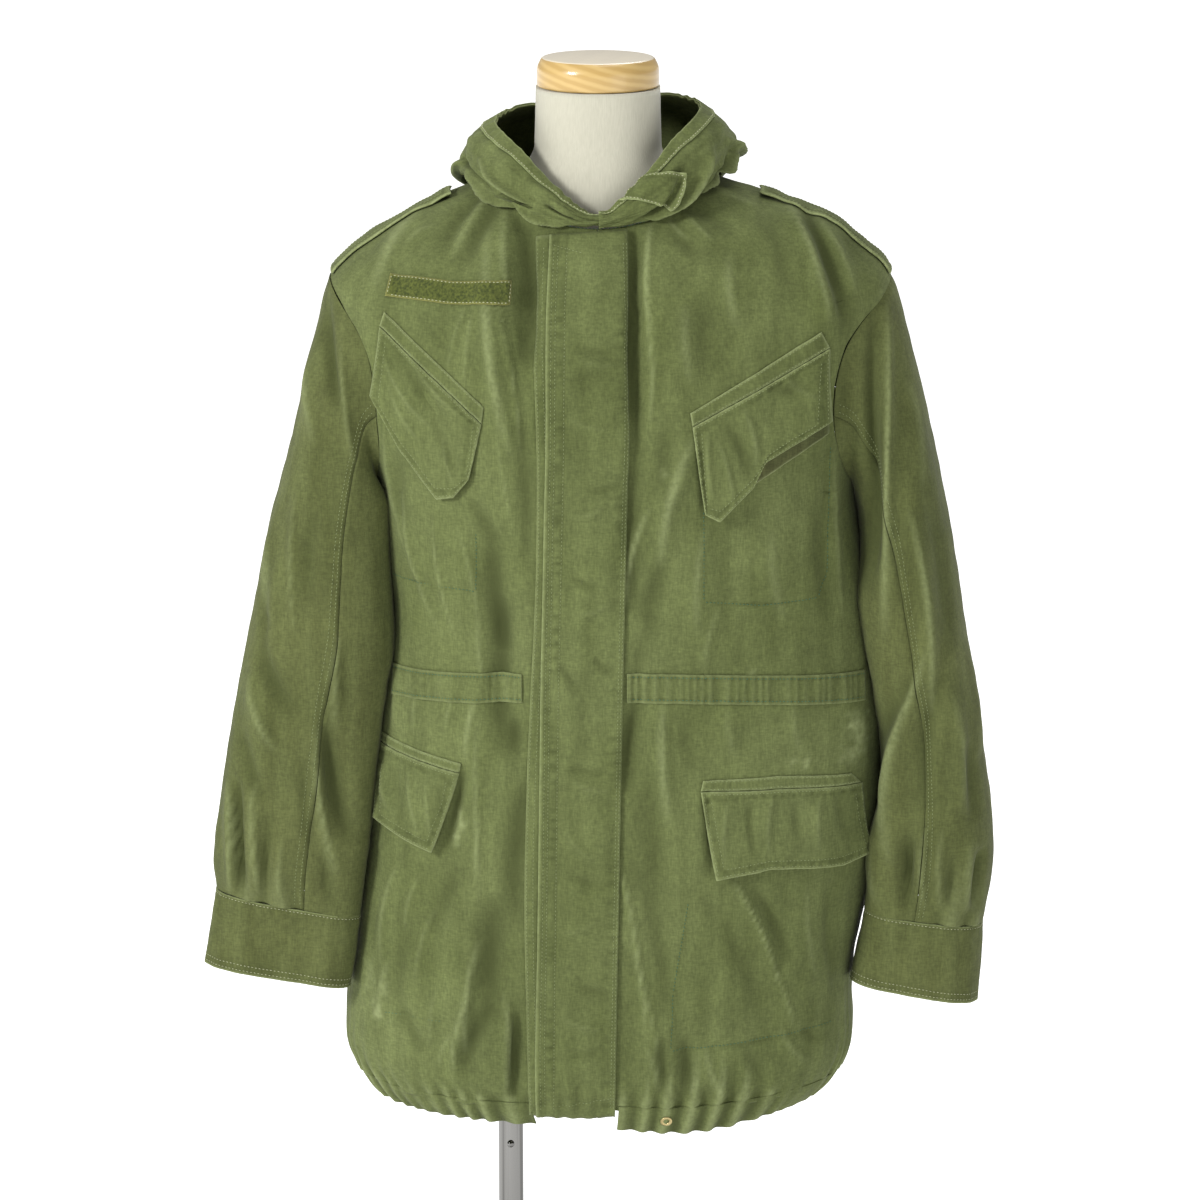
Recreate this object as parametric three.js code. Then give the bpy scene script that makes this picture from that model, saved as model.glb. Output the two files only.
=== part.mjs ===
// A hooded field jacket worn on a limbless dress form with a pole stand.
// Millimetres, +Z up. The front of the jacket faces -Y, so +X is to the viewer's right.
// The origin is the centre of the foot's underside.
import * as THREE from 'three';
import { mergeVertices } from 'three/addons/utils/BufferGeometryUtils.js';

// Cloth and seam sizes
const SEAM_GAP = 0.3;
const SIDE_GAP_FACTOR = 2.4;
const CENTRE_GAP_ANGLE = 0.12;
const ARMHOLE_GAP = 0.55;
const SLEEVE_GAP_ANGLE = 0.14;
const PANEL_WALL = 1.4;
const SLEEVE_WALL = 1.3;
const DOUBLE_WALL = 2.2;
const CASING_WALL = 3.0;
const TRIM_WALL = 1.2;
const TRIM_LIFT = 0.4;

// Stand and form sizes
const FOOT_RADIUS = 180;
const FOOT_HEIGHT = 10;
const POLE_RADIUS = 12;
const POLE_X = -84;
const POLE_SEGMENTS = 24;
const COLLAR = { radius: 24, height: 26, rim: 6, shoulder: 5, segments: 16 };
const FOOT_EDGE = { down: 3, in: 4, segments: 40 };
const BUTTON = { z: 452, radius: 3.6, flatness: 0.45 };
const FORM_BOTTOM = 640;
const NECK_RADIUS = 58.5;
const NECK_TOP = 1473;
const CAP_HEIGHT = 27;
const CAP_SEGMENTS = 32;

// The wooden cap's side from its bottom to its top, as a radius and a distance down from the top
const CAP_PROFILE = [
  { radius: 55.5, down: CAP_HEIGHT },
  { radius: 56.5, down: CAP_HEIGHT - 1.5 },
  { radius: 56.5, down: 12 },
  { radius: 54.3, down: 6 },
  { radius: 50, down: 0.8 },
  { radius: 48, down: 0 },
];

// Body levels, by row of the table below
const ARMPIT_LEVEL = 10;
const TIP_LEVEL = 13;
const NECK_LEVEL = 17;
const ARMHOLE_STEPS = 10;
const ARMHOLE_SWING = 34;
const ARMHOLE_ROUNDNESS = 0.75;
const SIDE_SEAM = 90;
const FRONT_COLUMNS = 11;
const BACK_COLUMNS = 18;

// The hem hangs lowest at one place on the viewer's right
const HEM_DIP = { x: 92, width: 72, depth: 11, upTo: 2.6, power: 1.5 };

// Level rings of the jacket's body. Heights are given at the front, side and back of each ring, and
// square is the ring's superellipse power: 2 is an ellipse, and more is squarer.
const BODY_ROWS = [
  { front: 504, side: 514, back: 508, right: 212, left: 210, ahead: 111, behind: 108, square: 2.5 },
  { front: 526, side: 535, back: 530, right: 231, left: 227, ahead: 123, behind: 121, square: 2.5 },
  { front: 560, side: 566, back: 562, right: 243, left: 241, ahead: 129, behind: 127, square: 2.5 },
  { front: 620, side: 622, back: 620, right: 243, left: 238, ahead: 131, behind: 129, square: 2.5 },
  { front: 700, side: 700, back: 700, right: 252, left: 226, ahead: 132, behind: 130, square: 2.5 },
  { front: 772, side: 768, back: 772, right: 263, left: 217, ahead: 131, behind: 129, square: 2.5 },
  { front: 846, side: 838, back: 845, right: 266, left: 210, ahead: 130, behind: 127, square: 2.5 },
  { front: 918, side: 905, back: 915, right: 265, left: 203, ahead: 129, behind: 125, square: 2.5 },
  { front: 982, side: 970, back: 980, right: 254, left: 194, ahead: 130, behind: 126, square: 2.5 },
  { front: 1044, side: 1038, back: 1044, right: 245, left: 198, ahead: 131, behind: 128, square: 2.5 },
  { front: 1108, side: 1105, back: 1110, right: 236, left: 205, ahead: 132, behind: 130, square: 2.5 },
  { front: 1168, side: 1178, back: 1180, right: 243, left: 228, ahead: 130, behind: 128, square: 2.5 },
  { front: 1226, side: 1246, back: 1248, right: 255, left: 239, ahead: 121, behind: 123, square: 2.5 },
  { front: 1268, side: 1297, back: 1300, right: 272, left: 249, ahead: 111, behind: 116, square: 2.45 },
  { front: 1294, side: 1331, back: 1334, right: 243, left: 214, ahead: 103, behind: 108, square: 2.4 },
  { front: 1315, side: 1353, back: 1360, right: 212, left: 178, ahead: 95, behind: 99, square: 2.35 },
  { front: 1334, side: 1370, back: 1382, right: 162, left: 144, ahead: 86, behind: 87, square: 2.3 },
  { front: 1352, side: 1387, back: 1402, right: 100, left: 100, ahead: 75, behind: 74, square: 2.3 },
];

// The jacket's largest soft folds. Each runs straight between two points of the front or back,
// and height is how far it stands out, or sinks in where it is below zero. Folds fade in and out along
// their length, and towards the side seams.
const FOLD_START = 0.08;
const FOLD_SIDE_FADE = 2.5;
const BODY_FOLDS = [
  { face: 'front', x0: -74, z0: 1338, x1: -68, z1: 1215, width: 15, height: -7 },
  { face: 'front', x0: -96, z0: 1330, x1: -80, z1: 1120, width: 17, height: 5 },
  { face: 'front', x0: 38, z0: 1340, x1: 36, z1: 1140, width: 13, height: -7 },
  { face: 'front', x0: 62, z0: 1335, x1: 66, z1: 1190, width: 17, height: 5 },
  { face: 'front', x0: 196, z0: 1330, x1: 226, z1: 1245, width: 14, height: 4 },
  { face: 'front', x0: -196, z0: 1325, x1: -212, z1: 1240, width: 15, height: 4 },
  { face: 'front', x0: -68, z0: 660, x1: -70, z1: 530, width: 14, height: -6 },
  { face: 'front', x0: -96, z0: 720, x1: -104, z1: 540, width: 17, height: 5 },
  { face: 'front', x0: -136, z0: 740, x1: -128, z1: 560, width: 14, height: 4 },
  { face: 'front', x0: 128, z0: 730, x1: 168, z1: 560, width: 17, height: -4 },
  { face: 'front', x0: 52, z0: 720, x1: 60, z1: 545, width: 17, height: 4 },
  { face: 'back', x0: -60, z0: 1330, x1: -74, z1: 1100, width: 20, height: 5 },
  { face: 'back', x0: 66, z0: 1330, x1: 82, z1: 1080, width: 20, height: 5 },
  { face: 'back', x0: -120, z0: 860, x1: -104, z1: 600, width: 20, height: 5 },
  { face: 'back', x0: 10, z0: 880, x1: 4, z1: 620, width: 20, height: -5 },
  { face: 'back', x0: 118, z0: 850, x1: 128, z1: 590, width: 20, height: 5 },
];

// Sleeve sections from the shoulder to the wrist: the outer and inner edge seen from the front,
// the half-depth front to back, and how much of the section's own shape replaces the armhole's.
const SLEEVE_ROWS = {
  left: [
    { outerX: 263, outerZ: 1256, innerX: 208, innerZ: 1096, depth: 68, y: -2, own: 0.5 },
    { outerX: 276, outerZ: 1192, innerX: 207, innerZ: 1074, depth: 70, y: -8, own: 0.85 },
    { outerX: 293, outerZ: 1118, innerX: 206, innerZ: 1040, depth: 70, y: -12, own: 1 },
    { outerX: 309, outerZ: 1050, innerX: 203, innerZ: 1000, depth: 68, y: -16, own: 1 },
    { outerX: 323, outerZ: 988, innerX: 201, innerZ: 955, depth: 66, y: -20, own: 1 },
    { outerX: 336, outerZ: 925, innerX: 209, innerZ: 906, depth: 62, y: -24, own: 1 },
    { outerX: 347, outerZ: 862, innerX: 216, innerZ: 848, depth: 57, y: -28, own: 1 },
    { outerX: 356, outerZ: 803, innerX: 222, innerZ: 786, depth: 50, y: -32, own: 1 },
    { outerX: 363, outerZ: 752, innerX: 229, innerZ: 732, depth: 42, y: -36, own: 1 },
    { outerX: 361, outerZ: 717, innerX: 233, innerZ: 696, depth: 33, y: -38, own: 1 },
  ],
  right: [
    { outerX: 288, outerZ: 1258, innerX: 240, innerZ: 1096, depth: 68, y: 0, own: 0.5 },
    { outerX: 303, outerZ: 1192, innerX: 243, innerZ: 1072, depth: 75, y: -2, own: 0.85 },
    { outerX: 319, outerZ: 1120, innerX: 248, innerZ: 1036, depth: 79, y: -4, own: 1 },
    { outerX: 331, outerZ: 1060, innerX: 253, innerZ: 1006, depth: 81, y: -6, own: 1 },
    { outerX: 342, outerZ: 992, innerX: 261, innerZ: 962, depth: 81, y: -10, own: 1 },
    { outerX: 352, outerZ: 928, innerX: 271, innerZ: 908, depth: 79, y: -14, own: 1 },
    { outerX: 362, outerZ: 864, innerX: 273, innerZ: 850, depth: 75, y: -18, own: 1 },
    { outerX: 371, outerZ: 802, innerX: 272, innerZ: 796, depth: 68, y: -22, own: 1 },
    { outerX: 374, outerZ: 742, innerX: 268, innerZ: 748, depth: 58, y: -26, own: 1 },
    { outerX: 365, outerZ: 684, innerX: 263, innerZ: 699, depth: 47, y: -30, own: 1 },
  ],
};

// Cuffs from their top to their bottom edge
const CUFF_ROWS = {
  left: [
    { outerX: 361, outerZ: 716.4, innerX: 233, innerZ: 695.4, depth: 33, y: -38 },
    { outerX: 366, outerZ: 684, innerX: 237, innerZ: 664, depth: 32, y: -39 },
    { outerX: 373, outerZ: 645, innerX: 243, innerZ: 626, depth: 31, y: -40 },
  ],
  right: [
    { outerX: 365, outerZ: 683.4, innerX: 263, innerZ: 698.4, depth: 47, y: -30 },
    { outerX: 364, outerZ: 648, innerX: 257, innerZ: 668, depth: 46, y: -30 },
    { outerX: 361, outerZ: 606, innerX: 249, innerZ: 629, depth: 45, y: -30 },
  ],
};
const SLEEVE_POINTS = 20;
const SLEEVE_SQUARE = 2.2;
const UNDER_HALF = 6;
const SLEEVE_STATIONS = [0, 0.5, 1, 1.6, 2.3, 3, 4, 5, 6, 7, 8, 9, 10];
const CUFF_STAND_OUT = 0.6;

// The hood's section at stations round the neck, in degrees from the throat. Each of its seven points
// is a distance out from the neckline and a height over it: from the neck seam, out over the shoulder
// or down the back, round the pouch's bottom and up to the rim.
const HOOD_STATIONS = [
  { angle: 6, out: [0, 3, 6, 8, 8, 6, 1], rise: [1, 2, 4, 7, 10, 13, 15] },
  { angle: 30, out: [0, 5, 10, 14, 15, 12, 0], rise: [1, 1, 4, 11, 19, 27, 32] },
  { angle: 55, out: [0, 7, 14, 19, 19, 12, -7], rise: [1, 0, 3, 14, 29, 44, 53] },
  { angle: 90, out: [0, 10, 21, 29, 29, 18, -6], rise: [1, 1, 2, 11, 27, 46, 59] },
  { angle: 125, out: [0, 22, 38, 50, 53, 36, -1], rise: [1, -10, -26, -20, 4, 36, 58] },
  { angle: 142, out: [0, 32, 52, 68, 74, 54, 2], rise: [1, -22, -64, -66, -20, 30, 54] },
  { angle: 160, out: [0, 38, 62, 79, 86, 64, 4], rise: [1, -30, -98, -102, -42, 24, 51] },
  { angle: 180, out: [0, 42, 70, 88, 97, 76, 8], rise: [1, -36, -118, -126, -56, 18, 49] },
];
const HOOD_OVER_SHOULDER = 6.6;
const HOOD_TILT = 7;
const HOOD_WALL = 1.5;
const HOOD_COLUMNS = 30;
const HOOD_ROWS = 10;
const HOOD_CASING_START = 0.9;
const HOOD_FRONT = 6;

// The tab over the hood's right front: its angles round the neck, and its place across the hood
const THROAT_TAB = { from: 14, to: 44, low: 0.42, high: 0.84, columns: 5, rows: 4 };

// Gathers of the hem casing: waves round each piece and how far they stand out
const HEM_PIECES = [
  { name: 'hem_left', from: -19.5, to: -89.9, waves: 15 },
  { name: 'hem_right', from: 4.8, to: 89.9, waves: 15 },
  { name: 'hem_back', from: 90.1, to: 269.9, waves: 32 },
];
const HEM_WAVE_HEIGHT = 2.6;
const HEM_WAVE_AT_SEAM = 0.35;
const HEM_STEPS_A_WAVE = 2;
const HEM_LEVELS = [0, 0.28, 0.62, 0.985];
const HEM_STAND_OUT = 1.2;
const HEM_ROUND = 0.4;
const HEM_OVAL = { half: 230, depth: 125 };
const EYELET = { x: 64, z: 512, radius: 5.6, probes: 8 };
const EYELET_SEGMENTS = 14;
const EYELET_PROFILE = [
  { radius: 2.6, height: 0 },
  { radius: 5.6, height: 0 },
  { radius: 5.2, height: 1 },
  { radius: 3.2, height: 1.2 },
  { radius: 2.6, height: 0.4 },
  { radius: 2.6, height: 0 },
];

// Outlines of the pieces that lie on the body, as x and z seen from the front. Each piece is ruled
// between its upper and lower edge, and lift is how far its underside stands off the cloth.
const FRONT_PIECES = [
  { name: 'chest_welt_left', wall: TRIM_WALL, columns: 6, rows: 1, lift: [0.4, 0.4],
    upper: [[-196, 1277], [-104, 1195]], lower: [[-200, 1264], [-106, 1180]] },
  { name: 'chest_flap_left', wall: DOUBLE_WALL, columns: 7, rows: 6, lift: [0.4, 5],
    upper: [[-200, 1263], [-106, 1179.3]],
    lower: [[-206, 1198], [-178, 1150], [-146, 1107], [-131, 1110], [-117, 1128]] },
  { name: 'chest_welt_right', wall: TRIM_WALL, columns: 9, rows: 1, lift: [0.4, 0.4],
    upper: [[84, 1190], [204, 1259]], lower: [[86, 1178], [212, 1243.5]] },
  { name: 'chest_flap_right', wall: DOUBLE_WALL, columns: 8, rows: 6, lift: [0.4, 8],
    upper: [[86, 1177.3], [212, 1242.8]],
    lower: [[97, 1097], [110, 1090], [140, 1121], [150, 1143], [210, 1176]] },
  { name: 'lower_welt_left', wall: TRIM_WALL, columns: 5, rows: 1, lift: [0.4, 0.4],
    upper: [[-205, 872], [-127, 857]], lower: [[-206, 863], [-129, 848]] },
  { name: 'lower_flap_left', wall: DOUBLE_WALL, columns: 6, rows: 4, lift: [0.4, 9],
    upper: [[-206, 862.3], [-129, 847.3]], lower: [[-203, 791], [-176, 780], [-151, 771]] },
  { name: 'lower_welt_right', wall: TRIM_WALL, columns: 9, rows: 1, lift: [0.4, 0.4],
    upper: [[97, 844], [236, 849]], lower: [[95, 834], [246, 838]] },
  { name: 'lower_flap_right', wall: DOUBLE_WALL, columns: 8, rows: 4, lift: [0.4, 6],
    upper: [[95, 833.3], [247, 837.3]], lower: [[109, 749], [160, 757], [231, 760], [253, 770]] },
  { name: 'name_tape', wall: 1.6, columns: 8, rows: 2, lift: [0.4, 0.4],
    upper: [[-190, 1310], [-134, 1306], [-79, 1307]], lower: [[-195, 1291], [-136, 1286], [-81, 1286]] },
  { name: 'chest_hook_strip', wall: 1, columns: 5, rows: 1, lift: [0.4, 0.4],
    upper: [[146, 1147], [212, 1179]], lower: [[138, 1119], [212, 1163]] },
];

// The placket, from its top to its bottom edge: where its free left edge and its sewn right edge run.
const FLY_ROWS = [
  { z: 1346, left: -44, right: 27 },
  { z: 1280, left: -47, right: 28 },
  { z: 1148, left: -48, right: 28 },
  { z: 922, left: -53, right: 23 },
  { z: 640, left: -57, right: 18 },
  { z: 516, left: -58, right: 16 },
];
const FLY_STEPS = 20;
const FLY_TOP_SLANT = 5;
const UNDERLAP = { shows: 13, hidden: 30, wander: 0.25, turns: 9 };

// The drawcord tunnel round the waist: its edges' heights, how far it sags towards the sides, and its
// strips seen from the front and back
const TUNNEL = { top: 947, bottom: 919, sag: 12, sagAt: 230 };
const TUNNEL_STRIPS = [
  { name: 'waist_tunnel_left', from: -190, to: -70, face: 'front', columns: 10 },
  { name: 'waist_tunnel_right', from: 26.5, to: 248, face: 'front', columns: 14 },
  { name: 'waist_tunnel_back', from: 248, to: -190, face: 'back', columns: 26 },
];

// Epaulettes: their edges' angles off the shoulder seam, and the levels of their outer and inner end
const EPAULETTE = { front: -11, back: 9, outer: TIP_LEVEL + 0.12, inner: 16.2 };

const COLOURS = {
  cloth: 0x5c6b3a,
  tape: 0x5d6434,
  form: 0xcfc8b6,
  wood: 0xcc9a55,
  steel: 0xb4b4b0,
  brass: 0xa08848,
};

const group = new THREE.Group();

function material(colour, roughness, metalness) {
  return new THREE.MeshStandardMaterial({ color: colour, roughness, metalness });
}

function addMesh(name, geometry, colour = COLOURS.cloth, roughness = 0.9, metalness = 0) {
  const mesh = new THREE.Mesh(geometry, material(colour, roughness, metalness));
  mesh.name = name;
  group.add(mesh);
  return mesh;
}

function lerp(a, b, t) {
  return a + (b - a) * t;
}

function radians(degrees) {
  return (degrees * Math.PI) / 180;
}

// A smooth curve through evenly spaced values, read at a fractional index
function smooth(values, at) {
  const last = values.length - 1;
  const base = Math.min(Math.max(Math.floor(at), 0), last - 1);
  const t = at - base;
  const p0 = values[Math.max(base - 1, 0)];
  const p1 = values[base];
  const p2 = values[base + 1];
  const p3 = values[Math.min(base + 2, last)];
  const slope1 = (p2 - p0) / 2;
  const slope2 = (p3 - p1) / 2;
  const t2 = t * t;
  const t3 = t2 * t;
  return (2 * t3 - 3 * t2 + 1) * p1 + (t3 - 2 * t2 + t) * slope1 + (3 * t2 - 2 * t3) * p2 + (t3 - t2) * slope2;
}

// Tables read column by column, kept so that each is split once
const splitTables = new Map();

function columnsOf(table) {
  if (!splitTables.has(table)) {
    splitTables.set(table, Object.keys(table[0]).map((name) => [name, table.map((entry) => entry[name])]));
  }
  return splitTables.get(table);
}

function smoothRow(table, at) {
  const row = {};
  for (const [name, values] of columnsOf(table)) row[name] = smooth(values, at);
  return row;
}

// A straight-edged line through points of two values, read at a fraction of its length in points
function polyline(points, t) {
  const at = t * (points.length - 1);
  const base = Math.min(Math.max(Math.floor(at), 0), points.length - 2);
  const part = at - base;
  return [lerp(points[base][0], points[base + 1][0], part), lerp(points[base][1], points[base + 1][1], part)];
}

function foldRise(face, x, z) {
  let rise = 0;
  for (const fold of BODY_FOLDS) {
    if (fold.face !== face) continue;
    const runX = fold.x1 - fold.x0;
    const runZ = fold.z1 - fold.z0;
    const length2 = runX * runX + runZ * runZ;
    const along = ((x - fold.x0) * runX + (z - fold.z0) * runZ) / length2;
    const t = Math.min(Math.max(along, 0), 1);
    const away = Math.hypot(x - fold.x0 - runX * t, z - fold.z0 - runZ * t);
    const fade = Math.sin(Math.PI * lerp(FOLD_START, 1 - FOLD_START, t));
    rise += fold.height * fade * Math.exp(-((away / fold.width) ** 2));
  }
  return rise;
}

// A point of the jacket's body: the angle runs from the centre front, past +90 at the right side, to
// 180 at the centre back, and level is a row of the body table.
function bodyPoint(angle, level) {
  const row = smoothRow(BODY_ROWS, level);
  const s = Math.sin(radians(angle));
  const c = Math.cos(radians(angle));
  const half = s > 0 ? row.right : row.left;
  const depth = c > 0 ? row.ahead : row.behind;
  const end = c > 0 ? row.front : row.back;
  const power = row.square;
  const reach = (Math.abs(s) ** power + Math.abs(c) ** power) ** (-1 / power);
  const x = half * s * reach;
  const dip = HEM_DIP.depth * Math.exp(-(((x - HEM_DIP.x) / HEM_DIP.width) ** 2)) * Math.max(0, c);
  const z = lerp(row.side, end, c * c) - dip * Math.max(0, 1 - level / HEM_DIP.upTo) ** HEM_DIP.power;
  const y = -depth * c * reach;
  const rise = foldRise(c > 0 ? 'front' : 'back', x, z) * Math.min(1, Math.abs(c) * FOLD_SIDE_FADE);
  return new THREE.Vector3(x, y - Math.sign(c) * rise, z);
}

// The normal of any surface at(u, v), from the differences either side
function normalOf(at, u, v, stepU, stepV) {
  const alongU = at(u + stepU, v).sub(at(u - stepU, v));
  const alongV = at(u, v + stepV).sub(at(u, v - stepV));
  return alongU.cross(alongV).normalize();
}

function signedVolume(positions, indices) {
  let sum = 0;
  for (let i = 0; i < indices.length; i += 3) {
    const [a, b, c] = [indices[i], indices[i + 1], indices[i + 2]].map((k) => positions[k]);
    sum += a.dot(new THREE.Vector3().crossVectors(b, c));
  }
  return sum;
}

function closedGeometry(positions, indices) {
  if (signedVolume(positions, indices) < 0) {
    for (let i = 0; i < indices.length; i += 3) {
      [indices[i + 1], indices[i + 2]] = [indices[i + 2], indices[i + 1]];
    }
  }
  const geometry = new THREE.BufferGeometry();
  geometry.setAttribute('position', new THREE.Float32BufferAttribute(positions.flatMap((p) => p.toArray()), 3));
  geometry.setIndex(indices);
  geometry.computeVertexNormals();
  return geometry;
}

// One closed wall between two grids of the same size. A grid is a list of rows of points, and a ring
// grid's rows close on themselves.
function wallBetween(outer, inner, ring) {
  const rows = outer.length;
  const columns = outer[0].length;
  const positions = [...outer.flat(), ...inner.flat()];
  const indices = [];
  const outerAt = (r, c) => r * columns + (c % columns);
  const innerAt = (r, c) => rows * columns + r * columns + (c % columns);
  const quad = (a, b, c, d) => indices.push(a, b, c, a, c, d);
  const spans = ring ? columns : columns - 1;
  for (let r = 0; r < rows - 1; r += 1) {
    for (let c = 0; c < spans; c += 1) {
      quad(outerAt(r, c), outerAt(r, c + 1), outerAt(r + 1, c + 1), outerAt(r + 1, c));
      quad(innerAt(r, c), innerAt(r + 1, c), innerAt(r + 1, c + 1), innerAt(r, c + 1));
    }
  }
  for (let c = 0; c < spans; c += 1) {
    quad(innerAt(0, c), innerAt(0, c + 1), outerAt(0, c + 1), outerAt(0, c));
    quad(outerAt(rows - 1, c), outerAt(rows - 1, c + 1), innerAt(rows - 1, c + 1), innerAt(rows - 1, c));
  }
  if (!ring) {
    for (let r = 0; r < rows - 1; r += 1) {
      quad(outerAt(r, 0), outerAt(r + 1, 0), innerAt(r + 1, 0), innerAt(r, 0));
      quad(innerAt(r, columns - 1), innerAt(r + 1, columns - 1), outerAt(r + 1, columns - 1), outerAt(r, columns - 1));
    }
  }
  return closedGeometry(positions, indices);
}

// A wall over the surface at(u, v): outside and inside say how far each face lies off the surface.
function clothWall({ at, us, vs, outside, inside, ring = false, outward = 1, stepU = 0.01, stepV = 0.01 }) {
  const outer = [];
  const inner = [];
  vs.forEach((v) => {
    const outerRow = [];
    const innerRow = [];
    us.forEach((u) => {
      const point = at(u, v);
      const normal = normalOf(at, u, v, stepU, stepV).multiplyScalar(outward);
      outerRow.push(point.clone().addScaledVector(normal, outside(u, v)));
      innerRow.push(point.clone().addScaledVector(normal, inside(u, v)));
    });
    outer.push(outerRow);
    inner.push(innerRow);
  });
  return wallBetween(outer, inner, ring);
}

function steps(from, to, count) {
  return Array.from({ length: count + 1 }, (_, i) => lerp(from, to, i / count));
}

// The armhole is an oval in angle and level, from the armpit (0) to the shoulder tip (1).
function armholeLevel(t) {
  return lerp(ARMPIT_LEVEL, TIP_LEVEL, (1 - Math.cos(Math.PI * t)) / 2);
}

function armholeSwing(t) {
  return ARMHOLE_SWING * Math.sin(Math.PI * Math.min(Math.max(t, 0), 1)) ** ARMHOLE_ROUNDNESS;
}

function swingAtLevel(level) {
  if (level <= ARMPIT_LEVEL || level >= TIP_LEVEL) return 0;
  const part = (level - ARMPIT_LEVEL) / (TIP_LEVEL - ARMPIT_LEVEL);
  return armholeSwing(Math.acos(1 - 2 * part) / Math.PI);
}

function seamAngle(level) {
  const width = smooth(BODY_ROWS.map((row) => (row.right + row.left) / 2), level);
  return (SEAM_GAP / 2 / width) * (180 / Math.PI) * SIDE_GAP_FACTOR;
}

const PANEL_LEVELS = [
  ...[1.03, 1.5, 2, 2.6, 3.2, 4, 4.8, 5.6, 6.4, 7.2, 8, 8.8, 9.5],
  ...steps(0, 1, ARMHOLE_STEPS).map(armholeLevel),
  ...[13.5, 14, 14.5, 15, 15.5, 16, 16.5, 17],
];

// Body panels: u runs from the centre to the side seam, and the armhole draws the outer columns in
function frontEdge(level) {
  return SIDE_SEAM - seamAngle(level);
}

function backEdge(level) {
  return SIDE_SEAM + seamAngle(level);
}

function buildFront(name, side) {
  const at = (u, level) => {
    const turn = lerp(CENTRE_GAP_ANGLE, frontEdge(level), u) - swingAtLevel(level) * u * u;
    return bodyPoint(side * turn, level);
  };
  bodyPanels.push(addMesh(name, clothWall({
    at, us: steps(0, 1, FRONT_COLUMNS), vs: PANEL_LEVELS, outward: side,
    outside: () => 0, inside: () => -PANEL_WALL,
  })));
}

function buildBack() {
  const at = (u, level) => {
    const across = Math.abs(u * 2 - 1);
    const turn = lerp(180, backEdge(level), across) + swingAtLevel(level) * across * across;
    return bodyPoint(u <= 0.5 ? turn : -turn, level);
  };
  bodyPanels.push(addMesh('back', clothWall({
    at, us: steps(0, 1, BACK_COLUMNS), vs: PANEL_LEVELS,
    outside: () => 0, inside: () => -PANEL_WALL,
  })));
}

// Hem casing: the gathers are waves that grow from the seam down
function hemPoint(angle, level, waves, u) {
  const point = bodyPoint(angle, level);
  const grow = lerp(1, HEM_WAVE_AT_SEAM, level);
  const wave = HEM_WAVE_HEIGHT * grow * Math.cos(2 * Math.PI * waves * u);
  const out = new THREE.Vector3(point.x / HEM_OVAL.half ** 2, point.y / HEM_OVAL.depth ** 2, 0).normalize();
  return point.addScaledVector(out, wave + HEM_STAND_OUT);
}

function buildHem({ name, from, to, waves }) {
  const at = (u, level) => hemPoint(lerp(from, to, u), level, waves, u);
  return addMesh(name, clothWall({
    at, us: steps(0, 1, waves * HEM_STEPS_A_WAVE), vs: HEM_LEVELS, outward: Math.sign(to - from),
    outside: (u, level) => HEM_ROUND * Math.sin(Math.PI * level), inside: () => -CASING_WALL,
    stepU: 0.001,
  }));
}

// The surface point under (x, z) of the front or back: level and angle are corrected in turn.
const CORRECTIONS = 7;
const HALVINGS = 16;
const WIDEST_PART = 0.995;

function bodyAt(x, z, face) {
  let level = 0;
  let angle = face === 'front' ? 0 : 180;
  for (let round = 0; round < CORRECTIONS; round += 1) {
    let low = 0;
    let high = NECK_LEVEL;
    for (let i = 0; i < HALVINGS; i += 1) {
      level = (low + high) / 2;
      if (bodyPoint(angle, level).z < z) low = level;
      else high = level;
    }
    const row = smoothRow(BODY_ROWS, level);
    const part = Math.min(Math.abs(x) / (x > 0 ? row.right : row.left), WIDEST_PART);
    const depth = (1 - part ** row.square) ** (1 / row.square);
    const swing = (Math.atan2(part, depth) * 180) / Math.PI;
    angle = Math.sign(x) * (face === 'front' ? swing : 180 - swing);
    if (x === 0) angle = face === 'front' ? 0 : 180;
  }
  return { point: bodyPoint(angle, level), normal: normalAt(angle, level) };
}

function normalAt(angle, level) {
  return normalOf(bodyPoint, angle, level, 0.4, 0.01);
}

// How far the outermost facet of the carriers stands over a point, along the point's normal
const PROBE = 30;
const raycaster = new THREE.Raycaster();
raycaster.far = 1.5 * PROBE;

function facetRise(point, normal, carriers) {
  raycaster.set(point.clone().addScaledVector(normal, PROBE), normal.clone().negate());
  const hits = raycaster.intersectObjects(carriers, false);
  return hits.length ? PROBE - hits[0].distance : -PROBE;
}

function mix4(a, b, c, d, u, v) {
  return a.clone().lerp(b, u).lerp(c.clone().lerp(d, u), v);
}

// Raises the corners of a grid's cells until every cell clears the carriers' facets by the seam gap
const SETTLE_GAP = 0.6;
const SETTLE_ROUNDS = 3;
const SETTLE_SAMPLES = [0, 0.33, 0.67, 1];

function settle(grid, normals, carriers) {
  for (let round = 0; round < SETTLE_ROUNDS; round += 1) {
    const raise = grid.map((row) => row.map(() => 0));
    for (let r = 0; r < grid.length - 1; r += 1) {
      for (let c = 0; c < grid[0].length - 1; c += 1) {
        const corners = [[r, c], [r, c + 1], [r + 1, c], [r + 1, c + 1]];
        let need = 0;
        for (const u of SETTLE_SAMPLES) {
          for (const v of SETTLE_SAMPLES) {
            const point = mix4(...corners.map(([i, j]) => grid[i][j]), u, v);
            const normal = mix4(...corners.map(([i, j]) => normals[i][j]), u, v).normalize();
            need = Math.max(need, facetRise(point, normal, carriers) + SETTLE_GAP);
          }
        }
        for (const [i, j] of corners) raise[i][j] = Math.max(raise[i][j], need);
      }
    }
    raise.forEach((row, r) => row.forEach((rise, c) => grid[r][c].addScaledVector(normals[r][c], rise)));
  }
}

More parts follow.
